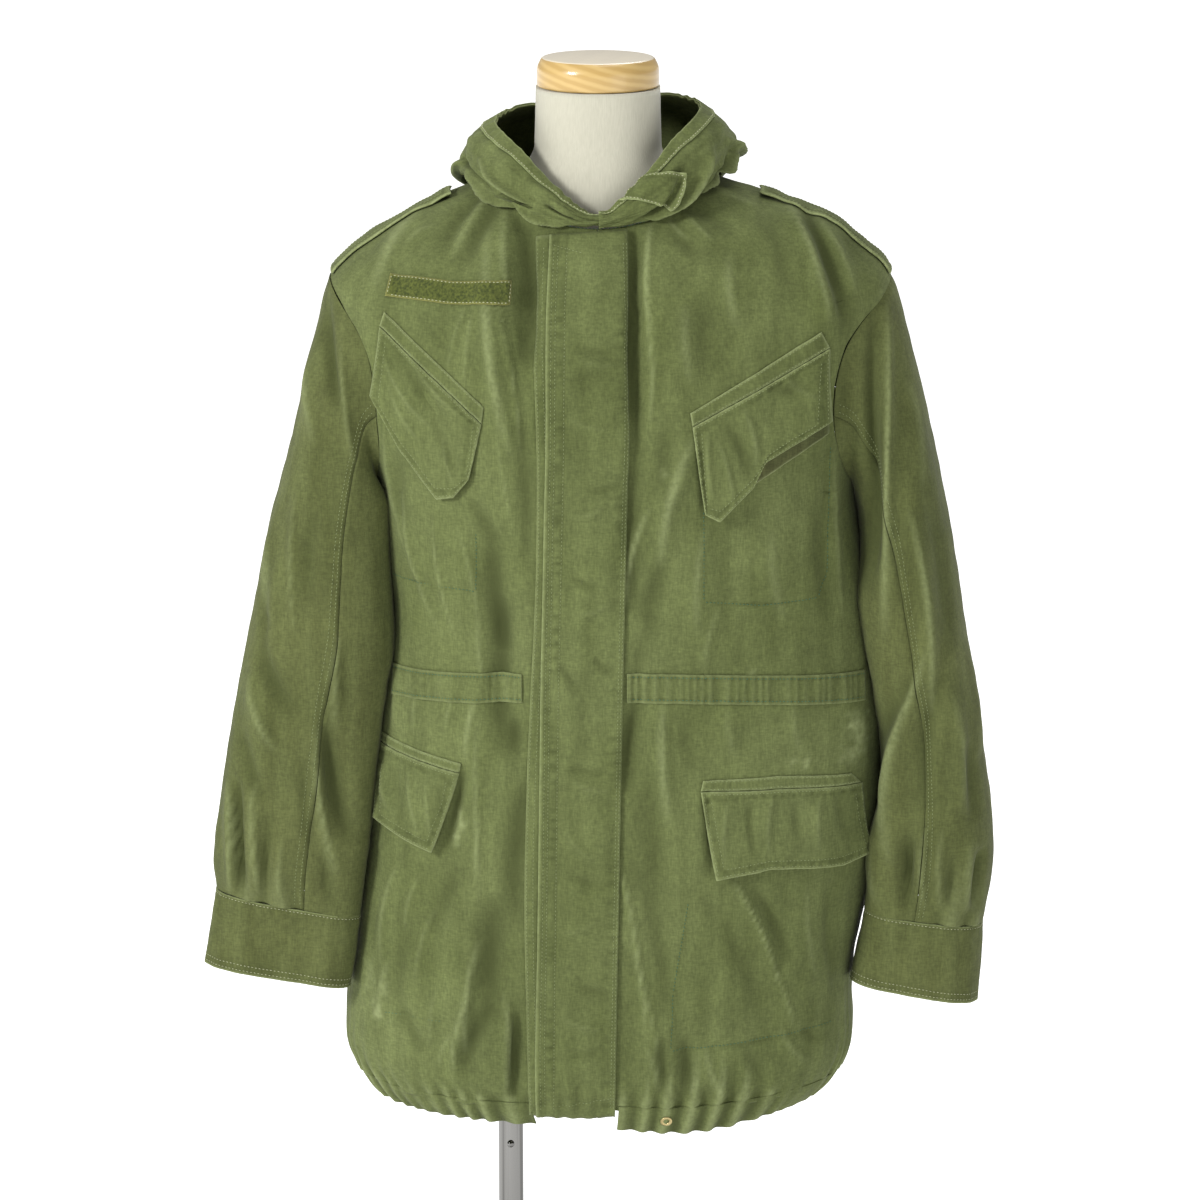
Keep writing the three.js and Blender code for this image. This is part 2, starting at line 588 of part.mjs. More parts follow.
// A piece over a surface: spot(u, v) gives a point and its normal, and lift its least height there
function pieceOver({ name, spot, columns, rows, wall, lift, carriers, colour = COLOURS.cloth }) {
  const spots = steps(0, 1, rows).map((v) => steps(0, 1, columns).map((u) => ({ ...spot(u, v), rise: lift(u, v) })));
  const normals = spots.map((row) => row.map((entry) => entry.normal));
  const inner = spots.map((row) => row.map(({ point, normal, rise }) => point.clone().addScaledVector(normal, rise)));
  settle(inner, normals, carriers);
  const outer = inner.map((row, r) => row.map((point, c) => point.clone().addScaledVector(normals[r][c], wall)));
  return addMesh(name, wallBetween(outer, inner, false), colour);
}

const bodyPanels = [];

function pieceOnBody({ shape, face = 'front', carriers = bodyPanels, ...rest }) {
  const spot = (u, v) => {
    const [x, z] = shape(u, v);
    return bodyAt(x, z, face);
  };
  return pieceOver({ spot, carriers, ...rest });
}

function buildFrontPieces() {
  for (const piece of FRONT_PIECES) {
    pieceOnBody({
      ...piece,
      shape: (u, v) => {
        const top = polyline(piece.upper, u);
        const bottom = polyline(piece.lower, u);
        return [lerp(top[0], bottom[0], v), lerp(top[1], bottom[1], v)];
      },
      lift: (u, v) => lerp(piece.lift[0], piece.lift[1], v * v),
      colour: piece.name === 'name_tape' ? COLOURS.tape : COLOURS.cloth,
    });
  }
}

function flyEdge(v, column) {
  const z = lerp(FLY_ROWS[0].z, FLY_ROWS[FLY_ROWS.length - 1].z, v);
  for (let i = 0; i < FLY_ROWS.length - 1; i += 1) {
    const above = FLY_ROWS[i];
    const below = FLY_ROWS[i + 1];
    if (z <= above.z + 1e-6 && z >= below.z - 1e-6) {
      return lerp(above[column], below[column], (above.z - z) / (above.z - below.z));
    }
  }
  return FLY_ROWS[0][column];
}

function buildFly() {
  const top = FLY_ROWS[0].z;
  const bottom = FLY_ROWS[FLY_ROWS.length - 1].z;
  const underlap = pieceOnBody({
    name: 'underlap', columns: 2, rows: FLY_STEPS, wall: TRIM_WALL,
    shape: (u, v) => {
      const share = 1 - UNDERLAP.wander * (1 - Math.cos(UNDERLAP.turns * v));
      const left = flyEdge(v, 'left') - UNDERLAP.shows * share;
      return [lerp(left, left + UNDERLAP.shows + UNDERLAP.hidden, u), lerp(top, bottom, v)];
    },
    lift: () => TRIM_LIFT,
  });
  pieceOnBody({
    name: 'fly', columns: 5, rows: FLY_STEPS, wall: DOUBLE_WALL,
    shape: (u, v) => {
      const x = lerp(flyEdge(v, 'left'), flyEdge(v, 'right'), u);
      return [x, lerp(top, bottom, v) + FLY_TOP_SLANT * (1 - v) * u];
    },
    lift: () => TRIM_LIFT,
    carriers: [...bodyPanels, underlap],
  });
}

function buildTunnel({ name, from, to, face, columns }) {
  pieceOnBody({
    name, columns, rows: 2, wall: TRIM_WALL, face,
    shape: (u, v) => {
      const x = lerp(from, to, u);
      const sag = TUNNEL.sag * (Math.abs(x) / TUNNEL.sagAt) ** 2;
      return [x, lerp(TUNNEL.top, TUNNEL.bottom, v) - sag];
    },
    lift: () => TRIM_LIFT,
  });
}

// Epaulettes lie along the shoulder seam from the sleeve towards the neck
function buildEpaulette(name, side) {
  const spot = (u, v) => {
    const angle = side * (SIDE_SEAM + lerp(EPAULETTE.front, EPAULETTE.back, u));
    const level = lerp(EPAULETTE.outer, EPAULETTE.inner, v);
    return { point: bodyPoint(angle, level), normal: normalAt(angle, level) };
  };
  pieceOver({ name, spot, columns: 3, rows: 7, wall: DOUBLE_WALL, lift: () => TRIM_LIFT, carriers: bodyPanels });
}

// Sleeves
function sectionPoint(row, side, angle) {
  const c = Math.cos(radians(angle));
  const s = Math.sin(radians(angle));
  const reach = (Math.abs(c) ** SLEEVE_SQUARE + Math.abs(s) ** SLEEVE_SQUARE) ** (-1 / SLEEVE_SQUARE);
  const middleX = (row.outerX + row.innerX) / 2;
  const middleZ = (row.outerZ + row.innerZ) / 2;
  const out = c * reach;
  return new THREE.Vector3(
    side * (middleX + ((row.outerX - row.innerX) / 2) * out),
    row.y - row.depth * s * reach,
    middleZ + ((row.outerZ - row.innerZ) / 2) * out,
  );
}

// The armhole's own ring: the angle runs from the tip (0), down the front, to the armpit (180)
function armholePoint(side, angle) {
  const turn = ((angle % 360) + 360) % 360;
  const front = turn <= 180;
  const t = 1 - (front ? turn : 360 - turn) / 180;
  const swing = armholeSwing(t) * (front ? -1 : 1);
  return bodyPoint(side * (SIDE_SEAM + swing), armholeLevel(t)).add(new THREE.Vector3(side * ARMHOLE_GAP, 0, 0));
}

function sleevePoint(side, rows, angle, at) {
  if (at <= 1) {
    const section = sectionPoint(rows[0], side, angle);
    const blended = armholePoint(side, angle).lerp(section, rows[0].own);
    return armholePoint(side, angle).lerp(blended, at);
  }
  const row = smoothRow(rows, at - 1);
  const section = sectionPoint(row, side, angle);
  return armholePoint(side, angle).lerp(section, Math.min(row.own, 1));
}

function buildSleeve(label, side) {
  const rows = SLEEVE_ROWS[label];
  const at = (angle, v) => sleevePoint(side, rows, angle, v);
  const stepAngle = 360 / SLEEVE_POINTS;
  const half = (name, from, to) => {
    const us = steps(from * stepAngle, to * stepAngle, to - from);
    us[0] += SLEEVE_GAP_ANGLE;
    us[us.length - 1] -= SLEEVE_GAP_ANGLE;
    addMesh(name, clothWall({
      at, us, vs: SLEEVE_STATIONS, outward: side,
      outside: () => 0, inside: () => -SLEEVE_WALL, stepU: 2, stepV: 0.02,
    }));
  };
  half(`sleeve_${label}_top`, -UNDER_HALF, UNDER_HALF);
  half(`sleeve_${label}_under`, UNDER_HALF, SLEEVE_POINTS - UNDER_HALF);
}

function buildCuff(label, side) {
  const rows = CUFF_ROWS[label];
  const at = (angle, v) => sectionPoint(smoothRow(rows, v), side, angle);
  const us = Array.from({ length: SLEEVE_POINTS }, (_, i) => (i * 360) / SLEEVE_POINTS);
  addMesh(`cuff_${label}`, clothWall({
    at, us, vs: [0, 1, 2], ring: true, outward: side,
    outside: () => CUFF_STAND_OUT, inside: () => CUFF_STAND_OUT - DOUBLE_WALL, stepU: 2, stepV: 0.02,
  }));
}

// Hood: a section of seven points swept round the neck
const HOOD_ANGLES = HOOD_STATIONS.map((station) => station.angle);

function hoodStation(angle) {
  let base = 0;
  while (base < HOOD_ANGLES.length - 2 && angle > HOOD_ANGLES[base + 1]) base += 1;
  return base + (angle - HOOD_ANGLES[base]) / (HOOD_ANGLES[base + 1] - HOOD_ANGLES[base]);
}

// The level of the body's ring that passes over a point in plan, or null where the body doesn't reach it
function levelUnder(x, y) {
  const beyond = (level) => {
    const row = smoothRow(BODY_ROWS, level);
    const half = x > 0 ? row.right : row.left;
    const depth = y < 0 ? row.ahead : row.behind;
    return (Math.abs(x) / half) ** row.square + (Math.abs(y) / depth) ** row.square - 1;
  };
  if (beyond(TIP_LEVEL) > 0 || beyond(NECK_LEVEL) < 0) return null;
  let low = TIP_LEVEL;
  let high = NECK_LEVEL;
  for (let i = 0; i < 20; i += 1) {
    const middle = (low + high) / 2;
    if (beyond(middle) > 0) high = middle;
    else low = middle;
  }
  return (low + high) / 2;
}

// The ring angle of a point in plan at a level
function ringAngle(x, y, level) {
  const row = smoothRow(BODY_ROWS, level);
  const half = x > 0 ? row.right : row.left;
  const depth = y < 0 ? row.ahead : row.behind;
  return (Math.atan2(x / half, -y / depth) * 180) / Math.PI;
}

function neckline(turn) {
  const x = Math.sin(radians(turn));
  const y = -Math.cos(radians(turn));
  const point = bodyPoint(ringAngle(x, y, NECK_LEVEL), NECK_LEVEL);
  return { reach: Math.hypot(point.x, point.y), height: point.z };
}

function hoodPoint(turn, t) {
  const folded = turn > 180 ? 360 - turn : turn;
  const station = hoodStation(folded);
  const at = t * (HOOD_STATIONS[0].out.length - 1);
  const section = (column) => smooth(
    HOOD_STATIONS[0][column].map((_, i) => smooth(HOOD_STATIONS.map((entry) => entry[column][i]), station)), at);
  const start = neckline(turn);
  const reach = start.reach + section('out');
  const x = reach * Math.sin(radians(turn));
  const y = -reach * Math.cos(radians(turn));
  let z = start.height + section('rise') + HOOD_TILT * Math.sin(radians(turn)) * t;
  const level = levelUnder(x, y);
  if (level !== null) z = Math.max(z, bodyPoint(ringAngle(x, y, level), level).z + HOOD_OVER_SHOULDER * Math.min(1, at));
  return new THREE.Vector3(x, y, z);
}

function buildHood() {
  const us = steps(HOOD_FRONT, 360 - HOOD_FRONT, HOOD_COLUMNS);
  const hood = addMesh('hood', clothWall({
    at: hoodPoint, us, vs: steps(0, 1, HOOD_ROWS),
    outside: () => 0, inside: () => -HOOD_WALL, stepU: 1, stepV: 0.01,
  }));
  addMesh('hood_casing', clothWall({
    at: hoodPoint, us, vs: [HOOD_CASING_START, 0.997],
    outside: () => TRIM_LIFT + TRIM_WALL, inside: () => TRIM_LIFT, stepU: 1, stepV: 0.01,
  }));
  const spot = (u, v) => {
    const turn = lerp(THROAT_TAB.from, THROAT_TAB.to, u);
    const t = lerp(THROAT_TAB.low, THROAT_TAB.high, v);
    return { point: hoodPoint(turn, t), normal: normalOf(hoodPoint, turn, t, 1, 0.01) };
  };
  pieceOver({
    name: 'throat_tab', spot, columns: THROAT_TAB.columns, rows: THROAT_TAB.rows, wall: DOUBLE_WALL,
    lift: () => TRIM_LIFT, carriers: [hood],
  });
}

// Dress form: rings of the trunk, then the shoulders that carry the jacket, then the neck
const FORM_RINGS = [
  { z: FORM_BOTTOM, half: 150, depth: 96 },
  { z: 668, half: 158, depth: 102 },
  { z: 760, half: 160, depth: 104 },
  { z: 880, half: 148, depth: 98 },
  { z: 940, half: 146, depth: 97 },
  { z: 1030, half: 158, depth: 104 },
  { z: 1120, half: 172, depth: 109 },
  { z: 1180, half: 182, depth: 107 },
];
const FORM_NECK_RINGS = [
  { z: 1393, half: 74, depth: 62 },
  { z: 1412, half: 60.5, depth: 60.5 },
  { z: 1430, half: NECK_RADIUS, depth: NECK_RADIUS },
  { z: NECK_TOP, half: NECK_RADIUS - 1, depth: NECK_RADIUS - 1 },
];
const FORM_SHOULDER_LEVELS = [12.6, 13.3, 14, 14.6, 15.2, 15.8, 16.4, 16.9];
const FORM_POINTS = 28;
const FORM_SQUARE = 2.3;
const FORM_CLEARANCE = PANEL_WALL + 0.5;
const FORM_SET_IN = 16;
const FORM_ARM_LEVEL = 13.5;
const FORM_ARM_NARROW = 0.86;

function formRing(ring) {
  return Array.from({ length: FORM_POINTS }, (_, i) => {
    const angle = (i / FORM_POINTS) * 2 * Math.PI;
    const s = Math.sin(angle);
    const c = Math.cos(angle);
    const reach = (Math.abs(s) ** FORM_SQUARE + Math.abs(c) ** FORM_SQUARE) ** (-1 / FORM_SQUARE);
    return new THREE.Vector3(ring.half * s * reach, -ring.depth * c * reach, ring.z);
  });
}

// Shoulder rings follow the jacket's inside: close along the shoulder seam, further in elsewhere
function shoulderRing(level) {
  return Array.from({ length: FORM_POINTS }, (_, i) => {
    const angle = (i / FORM_POINTS) * 360;
    const s = Math.sin(radians(angle));
    const narrow = level < FORM_ARM_LEVEL ? FORM_ARM_NARROW : 1;
    const point = bodyPoint(angle, level);
    const inset = lerp(FORM_SET_IN, FORM_CLEARANCE, Math.abs(s) ** 3);
    const normal = normalAt(angle, level);
    point.addScaledVector(normal, -inset);
    point.x *= narrow;
    return point;
  });
}

function loft(rings) {
  const columns = rings[0].length;
  const positions = rings.flat();
  const indices = [];
  for (let r = 0; r < rings.length - 1; r += 1) {
    for (let c = 0; c < columns; c += 1) {
      const next = (c + 1) % columns;
      const a = r * columns + c;
      const b = r * columns + next;
      indices.push(a, b, b + columns, a, b + columns, a + columns);
    }
  }
  for (const [ring, flip] of [[0, true], [rings.length - 1, false]]) {
    const centre = new THREE.Vector3();
    rings[ring].forEach((p) => centre.add(p));
    positions.push(centre.divideScalar(columns));
    const middle = positions.length - 1;
    for (let c = 0; c < columns; c += 1) {
      const a = ring * columns + c;
      const b = ring * columns + ((c + 1) % columns);
      if (flip) indices.push(middle, b, a);
      else indices.push(middle, a, b);
    }
  }
  return closedGeometry(positions, indices);
}

function buildForm() {
  const rings = [
    ...FORM_RINGS.map(formRing),
    ...FORM_SHOULDER_LEVELS.map(shoulderRing),
    ...FORM_NECK_RINGS.map(formRing),
  ];
  addMesh('form_torso', loft(rings), COLOURS.form, 0.95);
  const capBottom = NECK_TOP + SEAM_GAP;
  const capTop = capBottom + CAP_HEIGHT;
  const sides = CAP_PROFILE.map(({ radius, down }) => [radius, capTop - down]);
  addMesh('form_cap', lathe([[0, capBottom], ...sides, [0, capTop]], CAP_SEGMENTS), COLOURS.wood, 0.35);
}

function lathe(profile, segments) {
  const points = profile.map(([r, z]) => new THREE.Vector2(r, z));
  const geometry = new THREE.LatheGeometry(points, segments);
  geometry.deleteAttribute('normal');
  geometry.deleteAttribute('uv');
  geometry.rotateX(Math.PI / 2);
  return mergeVertices(geometry, 1e-3);
}

function buildStand() {
  const poleBottom = FOOT_HEIGHT + SEAM_GAP;
  const poleTop = FORM_BOTTOM - SEAM_GAP;
  const pole = addMesh('pole', lathe([
    [0, poleBottom], [POLE_RADIUS, poleBottom], [POLE_RADIUS, poleTop], [0, poleTop],
  ], POLE_SEGMENTS), COLOURS.steel, 0.2, 1);
  pole.position.x = POLE_X;
  const inner = POLE_RADIUS + SEAM_GAP;
  const collar = addMesh('pole_collar', lathe([
    [inner, poleBottom], [COLLAR.radius, poleBottom], [COLLAR.radius, poleBottom + COLLAR.rim],
    [inner + COLLAR.shoulder, poleBottom + COLLAR.height], [inner, poleBottom + COLLAR.height], [inner, poleBottom],
  ], COLLAR.segments), COLOURS.steel, 0.25, 1);
  collar.position.x = POLE_X;
  addMesh('foot', lathe([
    [0, 0], [FOOT_RADIUS, 0], [FOOT_RADIUS, FOOT_HEIGHT - FOOT_EDGE.down],
    [FOOT_RADIUS - FOOT_EDGE.in, FOOT_HEIGHT], [0, FOOT_HEIGHT],
  ], FOOT_EDGE.segments), COLOURS.steel, 0.25, 1);
  const button = new THREE.SphereGeometry(BUTTON.radius, 10, 6);
  button.scale(1, BUTTON.flatness, 1);
  button.deleteAttribute('normal');
  button.deleteAttribute('uv');
  const rivet = addMesh('pole_button', mergeVertices(button, 1e-3), COLOURS.steel, 0.3, 1);
  rivet.position.set(POLE_X, -POLE_RADIUS - SEAM_GAP - BUTTON.radius * BUTTON.flatness, BUTTON.z);
}

// A brass ring set on the right hem casing
function buildEyelet(hem) {
  const { point, normal } = bodyAt(EYELET.x, EYELET.z, 'front');
  const beside = new THREE.Vector3(0, 0, 1).cross(normal).normalize();
  const rises = steps(-EYELET.radius, EYELET.radius, EYELET.probes).map(
    (offset) => facetRise(point.clone().addScaledVector(beside, offset), normal, [hem]));
  const ring = lathe(EYELET_PROFILE.map(({ radius, height }) => [radius, height]), EYELET_SEGMENTS);
  const eyelet = addMesh('hem_eyelet', ring, COLOURS.brass, 0.35, 0.9);
  eyelet.position.copy(point.addScaledVector(normal, Math.max(...rises) + SEAM_GAP));
  eyelet.quaternion.setFromUnitVectors(new THREE.Vector3(0, 0, 1), normal);
}

buildFront('front_left', -1);
buildFront('front_right', 1);
buildBack();
HEM_PIECES.forEach(buildHem);
buildFrontPieces();
buildFly();
TUNNEL_STRIPS.forEach(buildTunnel);
buildEpaulette('epaulette_left', -1);
buildEpaulette('epaulette_right', 1);
buildSleeve('left', -1);
buildSleeve('right', 1);
buildCuff('left', -1);
buildCuff('right', 1);
buildHood();
buildForm();
buildStand();
buildEyelet(group.getObjectByName('hem_right'));

export default group;
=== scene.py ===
"""A hooded field jacket worn on a limbless dress form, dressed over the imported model.

Shape functions work in millimetres, +Z up, with the jacket's front towards -Y, and meshes are made in metres.
"""
import math

import bmesh
import bpy
import numpy as np
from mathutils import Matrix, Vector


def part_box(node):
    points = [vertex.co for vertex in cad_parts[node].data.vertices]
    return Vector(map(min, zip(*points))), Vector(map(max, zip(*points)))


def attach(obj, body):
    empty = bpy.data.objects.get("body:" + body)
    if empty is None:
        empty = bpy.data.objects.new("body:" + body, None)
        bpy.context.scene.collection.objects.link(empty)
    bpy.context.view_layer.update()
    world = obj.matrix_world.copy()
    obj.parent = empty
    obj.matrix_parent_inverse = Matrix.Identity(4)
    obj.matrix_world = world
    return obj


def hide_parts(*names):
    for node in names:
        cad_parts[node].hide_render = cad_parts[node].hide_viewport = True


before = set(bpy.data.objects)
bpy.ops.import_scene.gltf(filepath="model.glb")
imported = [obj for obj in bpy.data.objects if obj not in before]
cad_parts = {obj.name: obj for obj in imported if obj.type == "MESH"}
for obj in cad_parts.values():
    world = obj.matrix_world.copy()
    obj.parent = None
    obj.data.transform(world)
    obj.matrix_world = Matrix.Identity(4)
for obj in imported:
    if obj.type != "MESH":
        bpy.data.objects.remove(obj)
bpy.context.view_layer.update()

MM = 0.001
SIDES = {"left": -1, "right": 1}

# Camera: the photograph's own viewing point, pitched down
CAMERA_PLACE = (0.00185, -5.0, 2.15)
CAMERA_PITCH = 13.1
CAMERA_LENS = 163.4
CAMERA_SENSOR = 36.0


def add_camera():
    data = bpy.data.cameras.new("camera")
    data.sensor_width = CAMERA_SENSOR
    data.lens = CAMERA_LENS
    camera = bpy.data.objects.new("camera", data)
    camera.location = CAMERA_PLACE
    camera.rotation_euler = (math.radians(90 - CAMERA_PITCH), 0, 0)
    bpy.context.scene.collection.objects.link(camera)
    bpy.context.scene.camera = camera


add_camera()

# Level rings of the jacket's body, as in the part's own source: heights at the front, side and back of
# each ring, its half widths, its depths ahead and behind, and its superellipse power
BODY_COLUMNS = ("front", "side", "back", "right", "left", "ahead", "behind", "square")
BODY_ROWS = np.array([
    (504, 514, 508, 212, 210, 111, 108, 2.5),
    (526, 535, 530, 231, 227, 123, 121, 2.5),
    (560, 566, 562, 243, 241, 129, 127, 2.5),
    (620, 622, 620, 243, 238, 131, 129, 2.5),
    (700, 700, 700, 252, 226, 132, 130, 2.5),
    (772, 768, 772, 263, 217, 131, 129, 2.5),
    (846, 838, 845, 266, 210, 130, 127, 2.5),
    (918, 905, 915, 265, 203, 129, 125, 2.5),
    (982, 970, 980, 254, 194, 130, 126, 2.5),
    (1044, 1038, 1044, 245, 198, 131, 128, 2.5),
    (1108, 1105, 1110, 236, 205, 132, 130, 2.5),
    (1168, 1178, 1180, 243, 228, 130, 128, 2.5),
    (1226, 1246, 1248, 255, 239, 121, 123, 2.5),
    (1268, 1297, 1300, 272, 249, 111, 116, 2.45),
    (1294, 1331, 1334, 243, 214, 103, 108, 2.4),
    (1315, 1353, 1360, 212, 178, 95, 99, 2.35),
    (1334, 1370, 1382, 162, 144, 86, 87, 2.3),
    (1352, 1387, 1402, 100, 100, 75, 74, 2.3),
], float)
ARMPIT_LEVEL = 10
TIP_LEVEL = 13
NECK_LEVEL = 17
HEM_DIP = {"x": 92, "width": 72, "depth": 11, "up_to": 2.6, "power": 1.5}

# The largest soft folds, as in the part's own source: x0, z0, x1, z1, width, height
FOLD_START = 0.08
FOLD_SIDE_FADE = 2.5
LARGE_FOLDS = {
    "front": [
        (-74, 1338, -68, 1215, 15, -7),
        (-96, 1330, -80, 1120, 17, 5),
        (38, 1340, 36, 1140, 13, -7),
        (62, 1335, 66, 1190, 17, 5),
        (196, 1330, 226, 1245, 14, 4),
        (-196, 1325, -212, 1240, 15, 4),
        (-68, 660, -70, 530, 14, -6),
        (-96, 720, -104, 540, 17, 5),
        (-136, 740, -128, 560, 14, 4),
        (128, 730, 168, 560, 17, -4),
        (52, 720, 60, 545, 17, 4),
    ],
    "back": [
        (-60, 1330, -74, 1100, 20, 5),
        (66, 1330, 82, 1080, 20, 5),
        (-120, 860, -104, 600, 20, 5),
        (10, 880, 4, 620, 20, -5),
        (118, 850, 128, 590, 20, 5),
    ],
}


def lerp(a, b, t):
    return a + (b - a) * t


def ease(t):
    """A smooth step from 0 to 1 as t goes from 0 to 1."""
    t = np.clip(t, 0, 1)
    return t * t * (3 - 2 * t)


def bell(away, width):
    """1 at nothing away, and falling smoothly to next to nothing at twice the width."""
    return np.exp(-((away / width) ** 2))


def smooth(values, at):
    """A smooth curve through evenly spaced values along the last axis, read at a fractional index."""
    at = np.asarray(at, float)
    values = np.asarray(values, float)
    values = np.broadcast_to(values, at.shape + values.shape[-1:])
    last = values.shape[-1] - 1
    base = np.clip(np.floor(at), 0, last - 1).astype(int)
    t = at - base
    spots = [np.clip(base + step, 0, last)[..., None] for step in (-1, 0, 1, 2)]
    p0, p1, p2, p3 = (np.take_along_axis(values, spot, -1)[..., 0] for spot in spots)
    slope1 = (p2 - p0) / 2
    slope2 = (p3 - p1) / 2
    t2 = t * t
    t3 = t2 * t
    curve = (2 * t3 - 3 * t2 + 1) * p1 + (t3 - 2 * t2 + t) * slope1
    return curve + (3 * t2 - 2 * t3) * p2 + (t3 - t2) * slope2


def ring_reach(s, c, power):
    """How far a superellipse with half sizes of 1 reaches in the direction of a sine and cosine."""
    return (np.abs(s) ** power + np.abs(c) ** power) ** (-1 / power)


def body_row(level):
    return {name: smooth(BODY_ROWS[:, i], level) for i, name in enumerate(BODY_COLUMNS)}


def along_line(x, z, x0, z0, x1, z1):
    """How far along a straight line each point lies, from 0 to 1, and its distance off the line."""
    run_x = x1 - x0
    run_z = z1 - z0
    length = math.hypot(run_x, run_z)
    t = ((x - x0) * run_x + (z - z0) * run_z) / length ** 2
    off = ((x - x0) * run_z - (z - z0) * run_x) / length
    return t, off, length


def large_fold_rise(face, x, z):
    rise = np.zeros_like(x)
    for x0, z0, x1, z1, width, height in LARGE_FOLDS[face]:
        t, off, length = along_line(x, z, x0, z0, x1, z1)
        inside = np.clip(t, 0, 1)
        away = np.hypot(off, (t - inside) * length)
        rise += height * np.sin(math.pi * lerp(FOLD_START, 1 - FOLD_START, inside)) * bell(away, width)
    return rise


def body_plan(angle, level):
    """x, y and z of the jacket's body without its folds, and the cosine of the angle."""
    angle, level = np.broadcast_arrays(np.asarray(angle, float), np.asarray(level, float))
    row = body_row(level)
    s = np.sin(np.radians(angle))
    c = np.cos(np.radians(angle))
    half = np.where(s > 0, row["right"], row["left"])
    depth = np.where(c > 0, row["ahead"], row["behind"])
    end = np.where(c > 0, row["front"], row["back"])
    reach = ring_reach(s, c, row["square"])
    x = half * s * reach
    dip = HEM_DIP["depth"] * bell(x - HEM_DIP["x"], HEM_DIP["width"]) * np.maximum(0, c)
    z = lerp(row["side"], end, c * c) - dip * np.maximum(0, 1 - level / HEM_DIP["up_to"]) ** HEM_DIP["power"]
    return x, -depth * c * reach, z, c


def body_point(angle, level):
    x, y, z, c = body_plan(angle, level)
    rise = np.where(c > 0, large_fold_rise("front", x, z), large_fold_rise("back", x, z))
    rise = rise * np.minimum(1, np.abs(c) * FOLD_SIDE_FADE)
    return np.stack([x, y - np.sign(c) * rise, z], -1)


def unit(vectors):
    return vectors / np.maximum(np.linalg.norm(vectors, axis=-1, keepdims=True), 1e-9)


def normal_of(at, u, v, step_u, step_v):
    """The normal of the surface at(u, v), from the differences either side."""
    along_u = at(u + step_u, v) - at(u - step_u, v)
    along_v = at(u, v + step_v) - at(u, v - step_v)
    return unit(np.cross(along_u, along_v))


def body_normal(angle, level):
    return normal_of(body_point, angle, level, 0.4, 0.01)


SOLVE_ROUNDS = 6
SOLVE_HALVINGS = 13
WIDEST_PART = 0.995


def body_solve(x, z, face):
    """The angle and level of the body's surface under x and z of the front or back."""
    x, z = np.broadcast_arrays(np.asarray(x, float), np.asarray(z, float))
    angle = np.full(x.shape, 0.0 if face == "front" else 180.0)
    for _ in range(SOLVE_ROUNDS):
        low = np.zeros(x.shape)
        high = np.full(x.shape, float(NECK_LEVEL))
        for _ in range(SOLVE_HALVINGS):
            level = (low + high) / 2
            under = body_plan(angle, level)[2] < z
            low = np.where(under, level, low)
            high = np.where(under, high, level)
        row = body_row(level)
        part = np.minimum(np.abs(x) / np.where(x > 0, row["right"], row["left"]), WIDEST_PART)
        depth = (1 - part ** row["square"]) ** (1 / row["square"])
        swing = np.degrees(np.arctan2(part, depth))
        angle = np.where(x < 0, -1, 1) * (swing if face == "front" else 180 - swing)
    return angle, level


# Uneven waves: sums of a few sines with seeded directions, the same each run
def waves(x, z, size, seed, stretch=1.0, count=7):
    """Soft noise from about -1 to 1, of a given size in mm, stretched along z."""
    draw = np.random.default_rng(seed)
    total = np.zeros(np.broadcast(x, z).shape)
    for _ in range(count):
        turn = draw.uniform(0, 2 * math.pi)
        pitch = size * draw.uniform(0.7, 1.5)
        start = draw.uniform(0, 2 * math.pi)
        total += np.sin(2 * math.pi * (x * math.cos(turn) + z * math.sin(turn) / stretch) / pitch + start)
    return total / math.sqrt(count)


CREASE_TIGHTNESS = 0.82
CREASE_HEIGHT = 1.6
# How pale a ridge's crown gets, partly as wear and partly as painted highlight, and how dark a trough's
# bottom gets, as painted shade
CREASE_WEAR_AND_HIGHLIGHT = 0.6
CREASE_DARK = 1.15


def creases(table, x, z):
    """Creases, as a height, a worn share and a dark share at each point.

    Each is a line from x0, z0 to x1, z1, bent sideways in its middle, with its width and height:
    a ridge's crown is paled, partly as wear and partly as painted highlight, and a trough's bottom is
    darkened as painted shade."""
    height = np.zeros_like(x)
    wear_and_highlight = np.zeros_like(x)
    dark = np.zeros_like(x)
    for x0, z0, x1, z1, bend, width, rise in table:
        t, off, _ = along_line(x, z, x0, z0, x1, z1)
        inside = np.clip(t, 0, 1)
        fade = np.sin(math.pi * inside) ** 0.7
        away = off - bend * 4 * inside * (1 - inside)
        shape = fade * bell(away, CREASE_TIGHTNESS * width)
        height += CREASE_HEIGHT * rise * shape
        if rise > 0:
            # ridge crown: part wear, part painted highlight
            wear_and_highlight += CREASE_WEAR_AND_HIGHLIGHT * min(rise / 3, 1) * fade * bell(away, 0.3 * width)
        else:
            # trough bottom: painted shade
            dark += CREASE_DARK * min(-rise / 4, 1) * shape
    return height, wear_and_highlight, dark


def puckers(along, off, pitch, seed, reach=5.0):
    """Small uneven dimples along a stitched line."""
    phase = 2 * math.pi * along / pitch + 3.2 * waves(along, 0, pitch * 4, seed)
    size = 0.6 + 0.5 * waves(along, 0, pitch * 4.5, seed + 1)
    return size * np.cos(phase) * bell(off, reach)


# Meshes
def grid_normals(points, ring):
    if ring:
        along_u = np.roll(points, -1, axis=1) - np.roll(points, 1, axis=1)
    else:
        along_u = np.gradient(points, axis=1)
    along_v = np.gradient(points, axis=0)
    return unit(np.cross(along_u, along_v))


